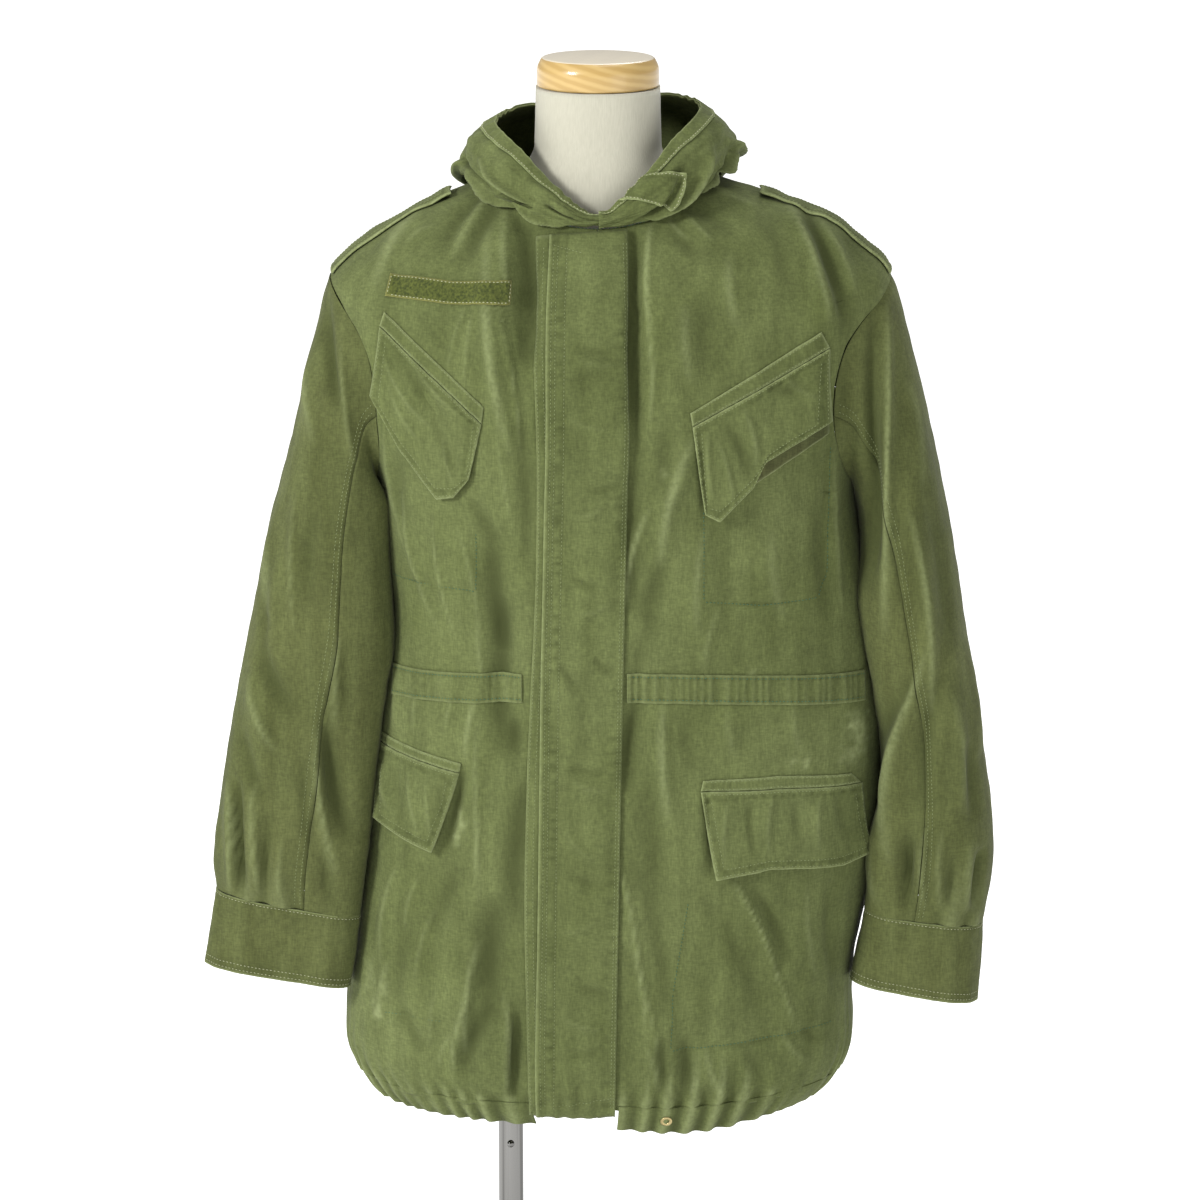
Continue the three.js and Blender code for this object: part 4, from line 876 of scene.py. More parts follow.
def body_relief(angle, level, point):
    """Height over the body's surface, a share paled by wear and painted highlight and a share of painted
    shade at each point, from all its creases.
    """
    c = np.cos(np.radians(angle))
    x = point[..., 0]
    z = point[..., 2]
    front = creases(CREASES["front"], x, z)
    back = creases(CREASES["back"], x, z)
    side_fade = np.minimum(1, np.abs(c) * FOLD_SIDE_FADE)
    height, wear_and_highlight, dark = (np.where(c > 0, a, b) * side_fade for a, b in zip(front, back))
    above_hem = (level - 1) * HEM_RISE
    reach = np.clip(24 + 16 * waves(angle, 0, 30, 9), 8, 60)
    fade = np.exp(-np.maximum(above_hem, 0) / reach)
    swell = 0.9 + 3.0 * ease(above_hem / 9)
    gathers = gather_wave(angle) * fade * swell
    height = height + gathers + 0.7 * waves(x, z, 60, 21, stretch=2.4)
    height = height + 0.35 * waves(x, z, 21, 22, stretch=1.6) + side_fullness(angle, z)
    wear_and_highlight = wear_and_highlight + np.where(c > 0, stains(x, z), 0)
    # gather crests painted pale as highlight, and their troughs painted dark as shade
    wear_and_highlight = wear_and_highlight + 0.5 * np.clip(gathers - 0.6, 0, 1)
    dark = dark + 0.5 * np.clip(-gathers - 0.6, 0, 1)
    return height, wear_and_highlight, dark


def dressed_body(angle, level):
    """Outer points, normals, and the shares paled by wear and painted highlight and darkened as painted
    shade, of the body's cloth.
    """
    point = body_point(angle, level)
    normal = body_normal(angle, level)
    height, wear_and_highlight, dark = body_relief(angle, level, point)
    calm = ease((NECK_LEVEL - level) / 0.5)
    return point + normal * (height * calm)[..., None], normal, wear_and_highlight * calm, dark * calm


FRONT_COLUMNS = 108
BACK_COLUMNS = 130


def build_front(label):
    side = SIDES[label]
    levels = panel_levels(175, 50, 30)[:, None]
    u = np.linspace(0, 1, FRONT_COLUMNS)[None, :]
    edge = 90 - seam_angle(levels)
    angle = side * (lerp(CENTRE_GAP_ANGLE, edge, u) - swing_at_level(levels) * u * u)
    level = np.broadcast_to(levels, angle.shape)
    outer, _, wear_and_highlight, dark = dressed_body(angle, level)
    thing = cloth_shell(f"front_{label}_cloth", outer, PANEL_WALL, wear_and_highlight, dark)
    dress_cloth(thing, f"front_{label}")


def build_back():
    levels = panel_levels(140, 44, 26)[:, None]
    u = np.linspace(0, 1, BACK_COLUMNS)[None, :]
    across = np.abs(u * 2 - 1)
    turn = lerp(180, 90 + seam_angle(levels), across) + swing_at_level(levels) * across * across
    angle = np.where(u <= 0.5, turn, -turn)
    level = np.broadcast_to(levels, angle.shape)
    outer, _, wear_and_highlight, dark = dressed_body(angle, level)
    thing = cloth_shell("back_cloth", outer, PANEL_WALL, wear_and_highlight, dark)
    dress_cloth(thing, "back")


def build_hem(name):
    start, end, count = HEM_PIECES[name]
    angle = np.linspace(start, end, count * 12 + 1)[None, :]
    level = np.linspace(0, CASING_END, 18)[:, None]
    angle, level = np.broadcast_arrays(angle, level)
    point = body_point(angle, level)
    out = unit(np.stack([point[..., 0] / HEM_OVAL[0] ** 2, point[..., 1] / HEM_OVAL[1] ** 2, 0 * level], -1))
    wave = gather_wave(angle)
    size = HEM_WAVE_HEIGHT * lerp(1, HEM_WAVE_AT_SEAM, np.minimum(1, level))
    rounded = 1.1 * np.sin(math.pi * np.minimum(1, level))
    stand_out = HEM_STAND_OUT * lerp(1, 0.45, ease(level))
    outer = point + out * (size * wave + stand_out + rounded)[..., None]
    # gather crests painted pale as highlight, and their troughs painted dark as shade
    wear_and_highlight = np.clip(wave - 0.2, 0, 1) * 0.6
    dark = np.clip(-wave - 0.1, 0, 1) * 0.9
    wall = CASING_WALL * lerp(1, 0.3, ease((level - 0.8) / 0.2))
    thing = cloth_shell(f"{name}_cloth", outer, wall, wear_and_highlight, dark, normals=out)
    dress_cloth(thing, name)


# Pieces that lie on the body, as x and z seen from the front: their upper and lower edges, their wall,
# the lift of their upper and lower edges off the cloth, and the columns and rows of their grid
FRONT_PIECES = {
    "chest_welt_left": {
        "upper": [(-196, 1277), (-104, 1195)], "lower": [(-200, 1264), (-106, 1180)],
        "wall": 1.2, "lift": (0.6, 0.6), "grid": (60, 10)},
    "chest_flap_left": {
        "upper": [(-200, 1263), (-106, 1179.3)],
        "lower": [(-206, 1198), (-178, 1150), (-146, 1107), (-131, 1110), (-117, 1128)],
        "wall": DOUBLED_WALL, "lift": (0.6, 5), "grid": (64, 56)},
    "chest_welt_right": {
        "upper": [(84, 1190), (204, 1259)], "lower": [(86, 1178), (212, 1243.5)],
        "wall": 1.2, "lift": (0.6, 0.6), "grid": (70, 10)},
    "chest_flap_right": {
        "upper": [(86, 1177.3), (212, 1242.8)],
        "lower": [(97, 1097), (110, 1090), (140, 1121), (150, 1143), (210, 1176)],
        "wall": DOUBLED_WALL, "lift": (0.6, 8), "grid": (72, 56)},
    "lower_welt_left": {
        "upper": [(-205, 872), (-127, 857)], "lower": [(-206, 863), (-129, 848)],
        "wall": 1.2, "lift": (0.6, 0.6), "grid": (50, 8)},
    "lower_flap_left": {
        "upper": [(-206, 862.3), (-129, 847.3)], "lower": [(-203, 791), (-176, 780), (-151, 771)],
        "wall": DOUBLED_WALL, "lift": (0.6, 9), "grid": (50, 44)},
    "lower_welt_right": {
        "upper": [(97, 844), (170, 845), (236, 838)], "lower": [(95, 834), (170, 833), (246, 827)],
        "wall": 1.2, "lift": (0.6, 0.6), "grid": (80, 8)},
    "lower_flap_right": {
        "upper": [(95, 833.3), (170, 832.3), (247, 826.3)],
        "lower": [(109, 749), (160, 757), (226, 752), (251, 758)],
        "wall": DOUBLED_WALL, "lift": (0.6, 6), "grid": (84, 48)},
    "name_tape": {
        "upper": [(-190, 1310), (-134, 1306), (-79, 1307)],
        "lower": [(-195, 1291), (-136, 1286), (-81, 1286)],
        "wall": 1.6, "lift": (0.6, 0.6), "grid": (90, 18)},
    "chest_hook_strip": {
        "upper": [(146, 1147), (212, 1179)], "lower": [(138, 1119), (212, 1163)],
        "wall": 1.0, "lift": (0.6, 0.6), "grid": (50, 16)},
}


# Seams of these pieces, by the middle word of their names: colour, distance from the edge, and sides
PIECE_SEAMS = {
    "flap": [("green", 2.6, "urdl"), ("green", 8.6, "rdl")],
    "welt": [("green", 1.8, "ud")],
    "tape": [("pale", 1.6, "urdl")],
    "hook": [],
}
PIECE_MATERIALS = {"tape": PILE, "hook": CLOTH_STRIP_DARK_AND_SHADOWED}


def polyline(points, t):
    """A line through points, read from 0 to 1, where each of its straight runs takes an equal share."""
    points = np.asarray(points, float)
    at = np.asarray(t) * (len(points) - 1)
    index = np.arange(len(points))
    return np.stack([np.interp(at, index, points[:, 0]), np.interp(at, index, points[:, 1])], -1)


def fractions(rows, columns):
    """Fractions across and down a grid."""
    return np.linspace(0, 1, columns)[None, :], np.linspace(0, 1, rows)[:, None]


def edge_distance(rows, columns, width, height):
    """Distance in mm to the nearest edge of a grid of that real size."""
    across, down = fractions(rows, columns)
    return np.minimum(np.minimum(across, 1 - across) * width, np.minimum(down, 1 - down) * height)


def rolled_wall(wall, near):
    """A wall that thins towards its edges."""
    return wall * lerp(0.55, 1, ease(near / 1.6))


def lay_on_body(name, x, z, lift, wall, relief, wear_and_highlight, dark, face="front"):
    """A cloth piece over the body's dressed cloth, with its outer points and their normals for its seams."""
    angle, level = body_solve(x, z, face)
    point, normal, _, _ = dressed_body(angle, level)
    lift = np.broadcast_to(lift, x.shape)
    outer = point + normal * lift[..., None] + normal * (wall + relief)[..., None]
    return cloth_shell(f"{name}_cloth", outer, wall, wear_and_highlight, dark, normals=normal), outer, normal


def flap_cloth(x, z, near, seed):
    """A flap's relief, its share paled by wear and painted highlight, and its share of painted shade: folds,
    a stitched edge and dimples beside it.
    """
    folds, pale, dark = creases(FLAP_CREASES, x, z)
    stitched = bell(near - 6.5, 1.6)
    dimples = waves(x, z, 8, seed + 1, count=9) * bell(near - 5, 3.5)
    relief = folds * ease(near / 7)
    relief += 0.9 * waves(x, z, 46, seed, stretch=1.6) * ease(near / 10) - 0.55 * stitched
    relief += 0.6 * dimples
    # painted shade in the dimples and along the stitch line
    dark = dark + 0.35 * np.clip(-dimples, 0, 1)
    dark = dark + 0.35 * stitched
    return relief, 0.7 * pale, dark


def welt_cloth(along, near, seed):
    """A welt's relief and its painted shade in the dimples: puckers all along it."""
    dimples = puckers(along, 0, 6, seed, reach=9)
    return 0.35 * dimples * ease(near / 2), 0.3 * np.clip(-dimples, 0, 1)


def build_front_piece(name):
    piece = FRONT_PIECES[name]
    kind = name.split("_")[1]
    columns, rows = piece["grid"]
    across, down = fractions(rows, columns)
    top = polyline(piece["upper"], across[0])
    bottom = polyline(piece["lower"], across[0])
    width = np.linalg.norm(np.diff(top, axis=0), axis=-1).sum()
    height = np.linalg.norm(top - bottom, axis=-1).mean()
    place = lerp(top[None], bottom[None], down[..., None])
    x, z = place[..., 0], place[..., 1]
    near = edge_distance(rows, columns, width, height)
    relief, rub_and_highlight, dark = 0 * x, 0 * x, 0 * x
    if kind == "flap":
        relief, rub_and_highlight, dark = flap_cloth(x, z, near, len(name) + columns)
    elif kind == "welt":
        relief, dark = welt_cloth(np.broadcast_to(across * width, x.shape), near, len(name))
    low, high = piece["lift"]
    lift = lerp(low, high, np.broadcast_to(down, x.shape) ** 2)
    wall = rolled_wall(piece["wall"], near)
    wear_and_highlight = 0.75 * bell(near, 1.5) + rub_and_highlight
    thing, outer, normal = lay_on_body(name, x, z, lift, wall, relief, wear_and_highlight, dark)
    for colour, inset, sides in PIECE_SEAMS[kind]:
        sew_border(colour, outer, normal, width, height, inset, sides)
    dress_cloth(thing, name, PIECE_MATERIALS.get(kind, CLOTH_EDGE))


# The placket, from its bottom to its top edge: where its free left edge and its sewn right edge run
FLY_Z = (516, 640, 922, 1148, 1280, 1346)
FLY_LEFT = (-58, -57, -53, -48, -47, -44)
FLY_RIGHT = (16, 18, 23, 28, 28, 27)
FLY_TOP_SLANT = 5
FLY_STITCHES = (4.6, 8.3, 16.6)
FLY_SEWN_EDGE_STITCHES = (1.6, 4.4)
# Puckered lines beside the stitches: distance from the left edge, size and seed
FLY_PUCKERS = ((6.4, 0.8, 41), (13.0, 1.3, 45))
UNDERLAP_SHOWS = 13
UNDERLAP_HIDDEN = 30
UNDERLAP_WALL = 1.2
UNDERLAP_STITCHES = (0.05, 0.19)


def fly_x(z, edges):
    return np.interp(z, FLY_Z, edges)


def build_fly():
    columns, rows = 50, 280
    u, v = fractions(rows, columns)
    z = lerp(FLY_Z[-1], FLY_Z[0], v)
    x = lerp(fly_x(z, FLY_LEFT), fly_x(z, FLY_RIGHT), u)
    z = z + FLY_TOP_SLANT * (1 - v) * u
    from_left = x - fly_x(z, FLY_LEFT)
    to_right = fly_x(z, FLY_RIGHT) - x
    near = np.minimum(np.minimum(from_left, to_right), edge_distance(rows, columns, 1e3, 830))
    folds, pale, dark = creases(FLAP_CREASES, x, z)
    relief = (1.2 * folds + 0.5 * waves(x, z, 40, 31, stretch=1.2)) * ease(near / 9)
    # Dimples and stitch grooves are darkened as painted shade
    for inset, size, seed in FLY_PUCKERS:
        dimples = puckers(z, from_left - inset, 11, seed, reach=4.0)
        relief += size * dimples
        dark = dark + 0.5 * size * np.clip(-dimples, 0, 1)
    for inset in FLY_STITCHES:
        relief -= 0.5 * bell(from_left - inset, 1.3)
        dark = dark + 0.4 * bell(from_left - inset, 1.2)
    dimples = puckers(z, to_right - 6, 12, 47, reach=6)
    relief += 0.9 * dimples - 0.5 * bell(to_right - 1.6, 1.3)
    dark = dark + 0.5 * np.clip(-dimples, 0, 1)
    wear_and_highlight = 0.6 * bell(from_left, 1.6) + 0.2 * bell(to_right, 2) + 0.5 * pale
    wall = DOUBLED_WALL * lerp(0.6, 1, ease(near / 1.8))
    thing, outer, normal = lay_on_body("fly", x, z, 2.0, wall, relief, wear_and_highlight, dark)
    down = np.linspace(0.012, 0.99, 700)
    sewn_z = lerp(FLY_Z[-1], FLY_Z[0], down)
    width = fly_x(sewn_z, FLY_RIGHT) - fly_x(sewn_z, FLY_LEFT)
    for inset in FLY_STITCHES:
        sew_line("green", outer, normal, inset / width, down)
    for inset in FLY_SEWN_EDGE_STITCHES:
        sew_line("green", outer, normal, 1 - inset / width, down)
    sew_grid("green", outer, normal, [(0.26, 0.984), (0.98, 0.975)])
    sew_grid("green", outer, normal, [(0.03, 0.010), (0.45, 0.022)])
    dress_cloth(thing, "fly", material=CLOTH_EDGE)


def build_underlap():
    columns, rows = 20, 240
    u, v = fractions(rows, columns)
    z = lerp(FLY_Z[-1], FLY_Z[0], v)
    left = fly_x(z, FLY_LEFT) - UNDERLAP_SHOWS * (0.75 + 0.25 * np.cos(9 * v))
    x = lerp(left, left + UNDERLAP_SHOWS + UNDERLAP_HIDDEN, u)
    z = np.broadcast_to(z, x.shape)
    near = np.minimum(x - left, edge_distance(rows, columns, 1e3, 830))
    relief = 0.35 * puckers(z, x - left - 5, 12, 51, reach=5)
    wear_and_highlight = 0.4 * bell(near, 1.6)
    # darker towards the part hidden under the placket: painted shadow
    dark = 0.5 * ease((u * (UNDERLAP_SHOWS + UNDERLAP_HIDDEN) - 6) / 8) + 0 * x
    thing, outer, normal = lay_on_body("underlap", x, z, 0.5, UNDERLAP_WALL, relief, wear_and_highlight, dark)
    for across in UNDERLAP_STITCHES:
        sew_line("green", outer, normal, across, np.linspace(0.01, 0.99, 700))
    dress_cloth(thing, "underlap")


# The drawcord tunnel round the waist: where each strip starts and ends, its face and its columns
TUNNEL_WALL = 1.1
TUNNEL_ROWS = 20
TUNNEL_TOP = 947
TUNNEL_BOTTOM = 919
TUNNEL_SAG = 12
TUNNEL_SAG_AT = 230
TUNNEL_STRIPS = {
    "waist_tunnel_left": (-190, -70, "front", 84),
    "waist_tunnel_right": (26.5, 248, "front", 150),
    "waist_tunnel_back": (248, -190, "back", 260),
}


def build_tunnel(name):
    start, end, face, columns = TUNNEL_STRIPS[name]
    x = np.linspace(start, end, columns)[None, :]
    v = np.linspace(0, 1, TUNNEL_ROWS)[:, None]
    z = lerp(TUNNEL_TOP, TUNNEL_BOTTOM, v) - TUNNEL_SAG * (np.abs(x) / TUNNEL_SAG_AT) ** 2
    x = np.broadcast_to(x, z.shape)
    near = edge_distance(TUNNEL_ROWS, columns, 1e3, TUNNEL_TOP - TUNNEL_BOTTOM)
    dimples = puckers(x, near - 7, 9, 61, reach=9) * np.clip(0.75 + 0.4 * waves(x, 0, 90, 62), 0.25, 1.2)
    relief = 0.9 * dimples + 0.4 * np.sin(math.pi * v)
    relief -= 0.4 * bell(near - 3.5, 1.4)
    wear_and_highlight = 0.35 * bell(near, 1.8)
    # painted shade along the stitch groove and in the dimples
    dark = 0.45 * bell(near - 3.5, 1.5) + 0.5 * np.clip(-dimples, 0, 1)
    # painted highlight on the dimple crests
    wear_and_highlight = wear_and_highlight + 0.25 * np.clip(dimples, 0, 1)
    thing, outer, normal = lay_on_body(name, x, z, 0.5, TUNNEL_WALL, relief, wear_and_highlight, dark, face)
    sew_grid("teal", outer, normal, [(0, 0.12), (1, 0.12)])
    sew_grid("teal", outer, normal, [(0, 0.88), (1, 0.88)])
    dress_cloth(thing, name)


# Epaulettes lie along the shoulder seam
EPAULETTE_ANGLES = (-11, 9)
EPAULETTE_LEVELS = (TIP_LEVEL + 0.12, 16.2)


def build_epaulette(label):
    side = SIDES[label]
    columns, rows = 40, 110
    u, v = fractions(rows, columns)
    angle, level = np.broadcast_arrays(
        side * (90 + lerp(*EPAULETTE_ANGLES, u)), lerp(*EPAULETTE_LEVELS, v))
    point, normal, _, _ = dressed_body(angle, level)
    width = np.linalg.norm(np.diff(point[rows // 2], axis=0), axis=-1).sum()
    length = np.linalg.norm(np.diff(point[:, columns // 2], axis=0), axis=-1).sum()
    near = edge_distance(rows, columns, width, length)
    stitched = bell(near - 6, 1.4)
    relief = 0.4 * waves(v * length, u * width, 30, 71 + side) * ease(near / 8) - 0.45 * stitched
    wall = rolled_wall(DOUBLED_WALL, near)
    lift = 1.2 + 3.0 * ease((v - 0.82) / 0.18)
    outer = point + normal * (lift + wall + relief)[..., None]
    wear_and_highlight = 0.9 * bell(near, 2.0)
    # its stitch groove darkened as painted shade
    thing = cloth_shell(f"epaulette_{label}_cloth", outer, wall, wear_and_highlight, 0.35 * stitched, normals=normal)
    sew_border("green", outer, normal, width, length, 2.6)
    sew_border("green", outer, normal, width, length, 8)
    dress_cloth(thing, f"epaulette_{label}", material=CLOTH_EDGE)


# Sleeve sections from the shoulder to the wrist: outer and inner edge seen from the front, half-depth,
# middle, and how much of the section's own shape replaces the armhole's
SLEEVE_ROWS = {
    "left": np.array([
        (263, 1256, 208, 1096, 68, -2, 0.5),
        (276, 1192, 207, 1074, 70, -8, 0.85),
        (293, 1118, 206, 1040, 70, -12, 1),
        (309, 1050, 203, 1000, 68, -16, 1),
        (323, 988, 201, 955, 66, -20, 1),
        (336, 925, 209, 906, 62, -24, 1),
        (347, 862, 216, 848, 57, -28, 1),
        (356, 803, 222, 786, 50, -32, 1),
        (363, 752, 229, 732, 42, -36, 1),
        (361, 717, 233, 696, 33, -38, 1),
    ], float),
    "right": np.array([
        (288, 1258, 240, 1096, 68, 0, 0.5),
        (303, 1192, 243, 1072, 75, -2, 0.85),
        (319, 1120, 248, 1036, 79, -4, 1),
        (331, 1060, 253, 1006, 81, -6, 1),
        (342, 992, 261, 962, 81, -10, 1),
        (352, 928, 271, 908, 79, -14, 1),
        (362, 864, 273, 850, 75, -18, 1),
        (371, 802, 272, 796, 68, -22, 1),
        (374, 742, 268, 748, 58, -26, 1),
        (365, 684, 263, 699, 47, -30, 1),
    ], float),
}
CUFF_ROWS = {
    "left": np.array([
        (361, 716.4, 233, 695.4, 33, -38),
        (366, 684, 237, 664, 32, -39),
        (373, 645, 243, 626, 31, -40),
    ], float),
    "right": np.array([
        (365, 683.4, 263, 698.4, 47, -30),
        (364, 648, 257, 668, 46, -30),
        (361, 606, 249, 629, 45, -30),
    ], float),
}
SLEEVE_SQUARE = 2.2
SLEEVE_SEAM_ANGLE = 108
SLEEVE_SEAM_GAP = 0.14
SLEEVE_WALL = 1.2
SLEEVE_ROW_COUNT = 185
# The sleeve's two parts: the angles where each starts and ends, and its columns
SLEEVE_PARTS = (
    ("top", -SLEEVE_SEAM_ANGLE, SLEEVE_SEAM_ANGLE, 62),
    ("under", SLEEVE_SEAM_ANGLE, 360 - SLEEVE_SEAM_ANGLE, 44),
)
SLEEVE_STITCHES = (0.965, 0.985)
ARMHOLE_GAP = 0.55


def section_point(row, side, angle):
    """A point of a sleeve section: row's first six values are its edges, half-depth and middle."""
    c = np.cos(np.radians(angle))
    s = np.sin(np.radians(angle))
    reach = ring_reach(s, c, SLEEVE_SQUARE)
    out = c * reach
    outer_x, outer_z, inner_x, inner_z, depth, y = row[:6]
    return np.stack([
        side * ((outer_x + inner_x) / 2 + (outer_x - inner_x) / 2 * out),
        y - depth * s * reach,
        (outer_z + inner_z) / 2 + (outer_z - inner_z) / 2 * out,
    ], -1)


def armhole_point(side, angle):
    turn = np.mod(angle, 360)
    front = turn <= 180
    t = 1 - np.where(front, turn, 360 - turn) / 180
    swing = armhole_swing(t) * np.where(front, -1, 1)
    return body_point(side * (90 + swing), armhole_level(t)) + np.array([side * ARMHOLE_GAP, 0, 0])


def spline_weights(at, count):
    """Weights of evenly spaced stations for a smooth curve through them, one row for each place."""
    return np.stack([smooth(np.eye(count)[i], at) for i in range(count)], -1)


def sleeve_surface(label, angle, at):
    """The sleeve's points for a row of angles and of places, from 0 at the armhole to 10 at the cuff."""
    side = SIDES[label]
    armhole = armhole_point(side, angle)
    stations = [armhole]
    for row in SLEEVE_ROWS[label]:
        stations.append(lerp(armhole, section_point(row, side, angle), row[6]))
    return np.einsum("rk,kac->rac", spline_weights(at, len(stations)), np.stack(stations))


# Creases of the sleeves, as x and z seen from the front, and how much deeper they are than the body's
SLEEVE_CREASE_FACTOR = 1.6
SLEEVE_CREASES = {
    "left": {
        "front": [
            (-252, 1288, -236, 1180, 5, 8, -3.2), (-268, 1270, -262, 1150, 4, 9, 2.4),
            (-236, 1250, -226, 1130, 3, 6, 1.6), (-292, 1190, -308, 985, 8, 13, 3.0),
            (-278, 1112, -282, 972, 4, 5, 1.6), (-262, 1090, -268, 1000, 3, 8, -1.8),
            (-300, 1050, -312, 950, 4, 6, -1.8), (-316, 965, -284, 896, 5, 10, -3.0),
            (-326, 930, -300, 860, 5, 9, 2.2), (-334, 880, -312, 810, 4, 8, -2.2),
            (-338, 830, -333, 712, 3, 5, -5.5), (-347, 828, -347, 715, -3, 7, 3.0),
            (-322, 830, -318, 716, 3, 7, 2.4), (-252, 905, -236, 768, 6, 9, -4.2),
            (-262, 890, -250, 740, 6, 8, 2.8), (-240, 980, -246, 880, 4, 8, 2.0),
            (-306, 800, -312, 712, 3, 5, -2.2), (-296, 780, -298, 712, 3, 6, 1.6),
            (-272, 860, -268, 760, 3, 6, -1.6), (-258, 780, -252, 708, 2, 5, -2.0),
        ],
        "back": [
            (-260, 1260, -250, 1120, 5, 10, -3.0), (-290, 1150, -304, 980, 7, 11, 2.6),
            (-300, 990, -262, 900, 5, 10, -3.2), (-312, 930, -280, 840, 5, 9, 2.6),
            (-326, 860, -318, 716, 4, 7, -3.6), (-296, 850, -292, 710, 4, 8, 2.4),
            (-262, 880, -258, 716, 4, 8, -3.0),
        ],
    },
    "right": {
        "front": [
            (266, 1290, 276, 968, 4, 7, 3.4), (255, 1270, 262, 1000, 4, 8, -4.0),
            (286, 1095, 310, 896, -7, 8, 2.8), (300, 1120, 326, 950, -6, 10, -1.8),
            (306, 968, 284, 748, 9, 8, 3.6), (296, 940, 276, 770, 8, 8, -3.6),
            (318, 940, 306, 800, 7, 9, -2.4), (328, 920, 340, 800, -5, 7, 2.0),
            (346, 960, 358, 850, -4, 8, 2.2), (340, 870, 352, 790, -4, 8, -2.2),
            (296, 782, 292, 706, 2, 5, -5.0), (306, 790, 306, 706, 2, 6, 2.6),
            (362, 764, 357, 698, 2, 5, -5.0), (350, 776, 346, 700, 3, 7, 2.4),
            (322, 790, 322, 705, 3, 7, 1.8), (334, 760, 332, 704, 2, 5, -2.0),
            (276, 800, 276, 704, 3, 6, 2.0), (284, 1210, 300, 1110, -4, 10, 1.6),
            (312, 1180, 328, 1060, -4, 10, -1.4),
        ],
        "back": [
            (268, 1260, 262, 1110, -5, 10, -3.0), (300, 1150, 314, 980, -7, 11, 2.6),
            (316, 990, 276, 900, -5, 10, -3.2), (328, 930, 296, 840, -5, 9, 2.6),
            (346, 860, 336, 706, -4, 7, -3.6), (312, 850, 308, 706, -4, 8, 2.4),
            (280, 880, 278, 710, -4, 8, -3.0),
        ],
    },
}
# Pleats above the cuffs: the angle round the sleeve and the width of each, in degrees
PLEATS = {"left": [(200, 12), (228, 11), (60, 9), (88, 8)], "right": [(200, 12), (228, 11), (70, 9), (40, 8)]}
# Extra cloth on the sleeves' inner fronts in mm, and between which places down the sleeve it sets in
FULLNESS = {"left": 17, "right": 18}
FULLNESS_FROM = {"left": (0.8, 2.0), "right": (2.0, 4.2)}


def inner_fullness(label, angle):
    """Extra cloth on a sleeve's inner front, which lies over the body's edge without touching it."""
    return FULLNESS[label] * bell(np.mod(angle, 360) - 148, 28)


def sleeve_relief(label, angle, at, point):
    s = np.sin(np.radians(angle))
    x = point[..., 0]
    z = point[..., 2]
    front = creases(SLEEVE_CREASES[label]["front"], x, z)
    back = creases(SLEEVE_CREASES[label]["back"], x, z)
    fade = np.minimum(1, np.abs(s) * 2.2)
    height, wear_and_highlight, dark = (np.where(s > 0, a, b) * fade for a, b in zip(front, back))
    height = height * SLEEVE_CREASE_FACTOR
    near_cuff = np.clip((at - 8.4) / 1.6, 0, 1) ** 1.4
    for middle, width in PLEATS[label]:
        away = np.mod(angle - middle + 180, 360) - 180
        ridge = bell(away, width)
        height = height + 2.4 * near_cuff * (ridge - 0.8 * bell(away - 1.5 * width, 0.7 * width))
        # pleat ridges painted pale as highlight, and the fold beside each painted dark as shade
        wear_and_highlight = wear_and_highlight + 0.4 * near_cuff * ridge
        dark = dark + 0.6 * near_cuff * bell(away - 1.4 * width, 0.5 * width)
    round_x = x + 40 * s
    height = height + 0.5 * waves(round_x, z, 70, 81, stretch=2.0)
    height = height + 0.25 * waves(round_x, z, 22, 82, stretch=1.4)
    start, end = FULLNESS_FROM[label]
    height = height + inner_fullness(label, angle) * ease((at - start) / (end - start))
    return height, wear_and_highlight, dark


def build_sleeve(label):
    at = np.linspace(0, 10, SLEEVE_ROW_COUNT)
    for part, start, end, columns in SLEEVE_PARTS:
        angle = np.linspace(start + SLEEVE_SEAM_GAP, end - SLEEVE_SEAM_GAP, columns)
        base = sleeve_surface(label, angle, at)
        normals = grid_normals(base, False)
        outward = base - base.mean(axis=1, keepdims=True)
        if part == "under":
            whole = sleeve_surface(label, np.linspace(0, 360, 24), at)
            outward = base - whole.mean(axis=1, keepdims=True)
        if np.sum(normals * outward) < 0:
            normals = -normals
        turn = np.broadcast_to(angle[None, :], base.shape[:2])
        place = np.broadcast_to(at[:, None], base.shape[:2])
        height, wear_and_highlight, dark = sleeve_relief(label, turn, place, base)
        calm = ease(place / 0.5)
        outer = base + normals * (height * calm)[..., None]
        name = f"sleeve_{label}_{part}"
        thing = cloth_shell(f"{name}_cloth", outer, SLEEVE_WALL, wear_and_highlight, dark, normals=normals)
        dress_cloth(thing, name, material=CLOTH_SLEEVE_SHADED)
        if part == "top":
            for across in SLEEVE_STITCHES:
                sew_line("green", outer, normals, across, np.linspace(0.02, 0.99, 600))


CUFF_HEIGHT = 70
CUFF_STITCHES = (0.065, 0.86, 0.935)


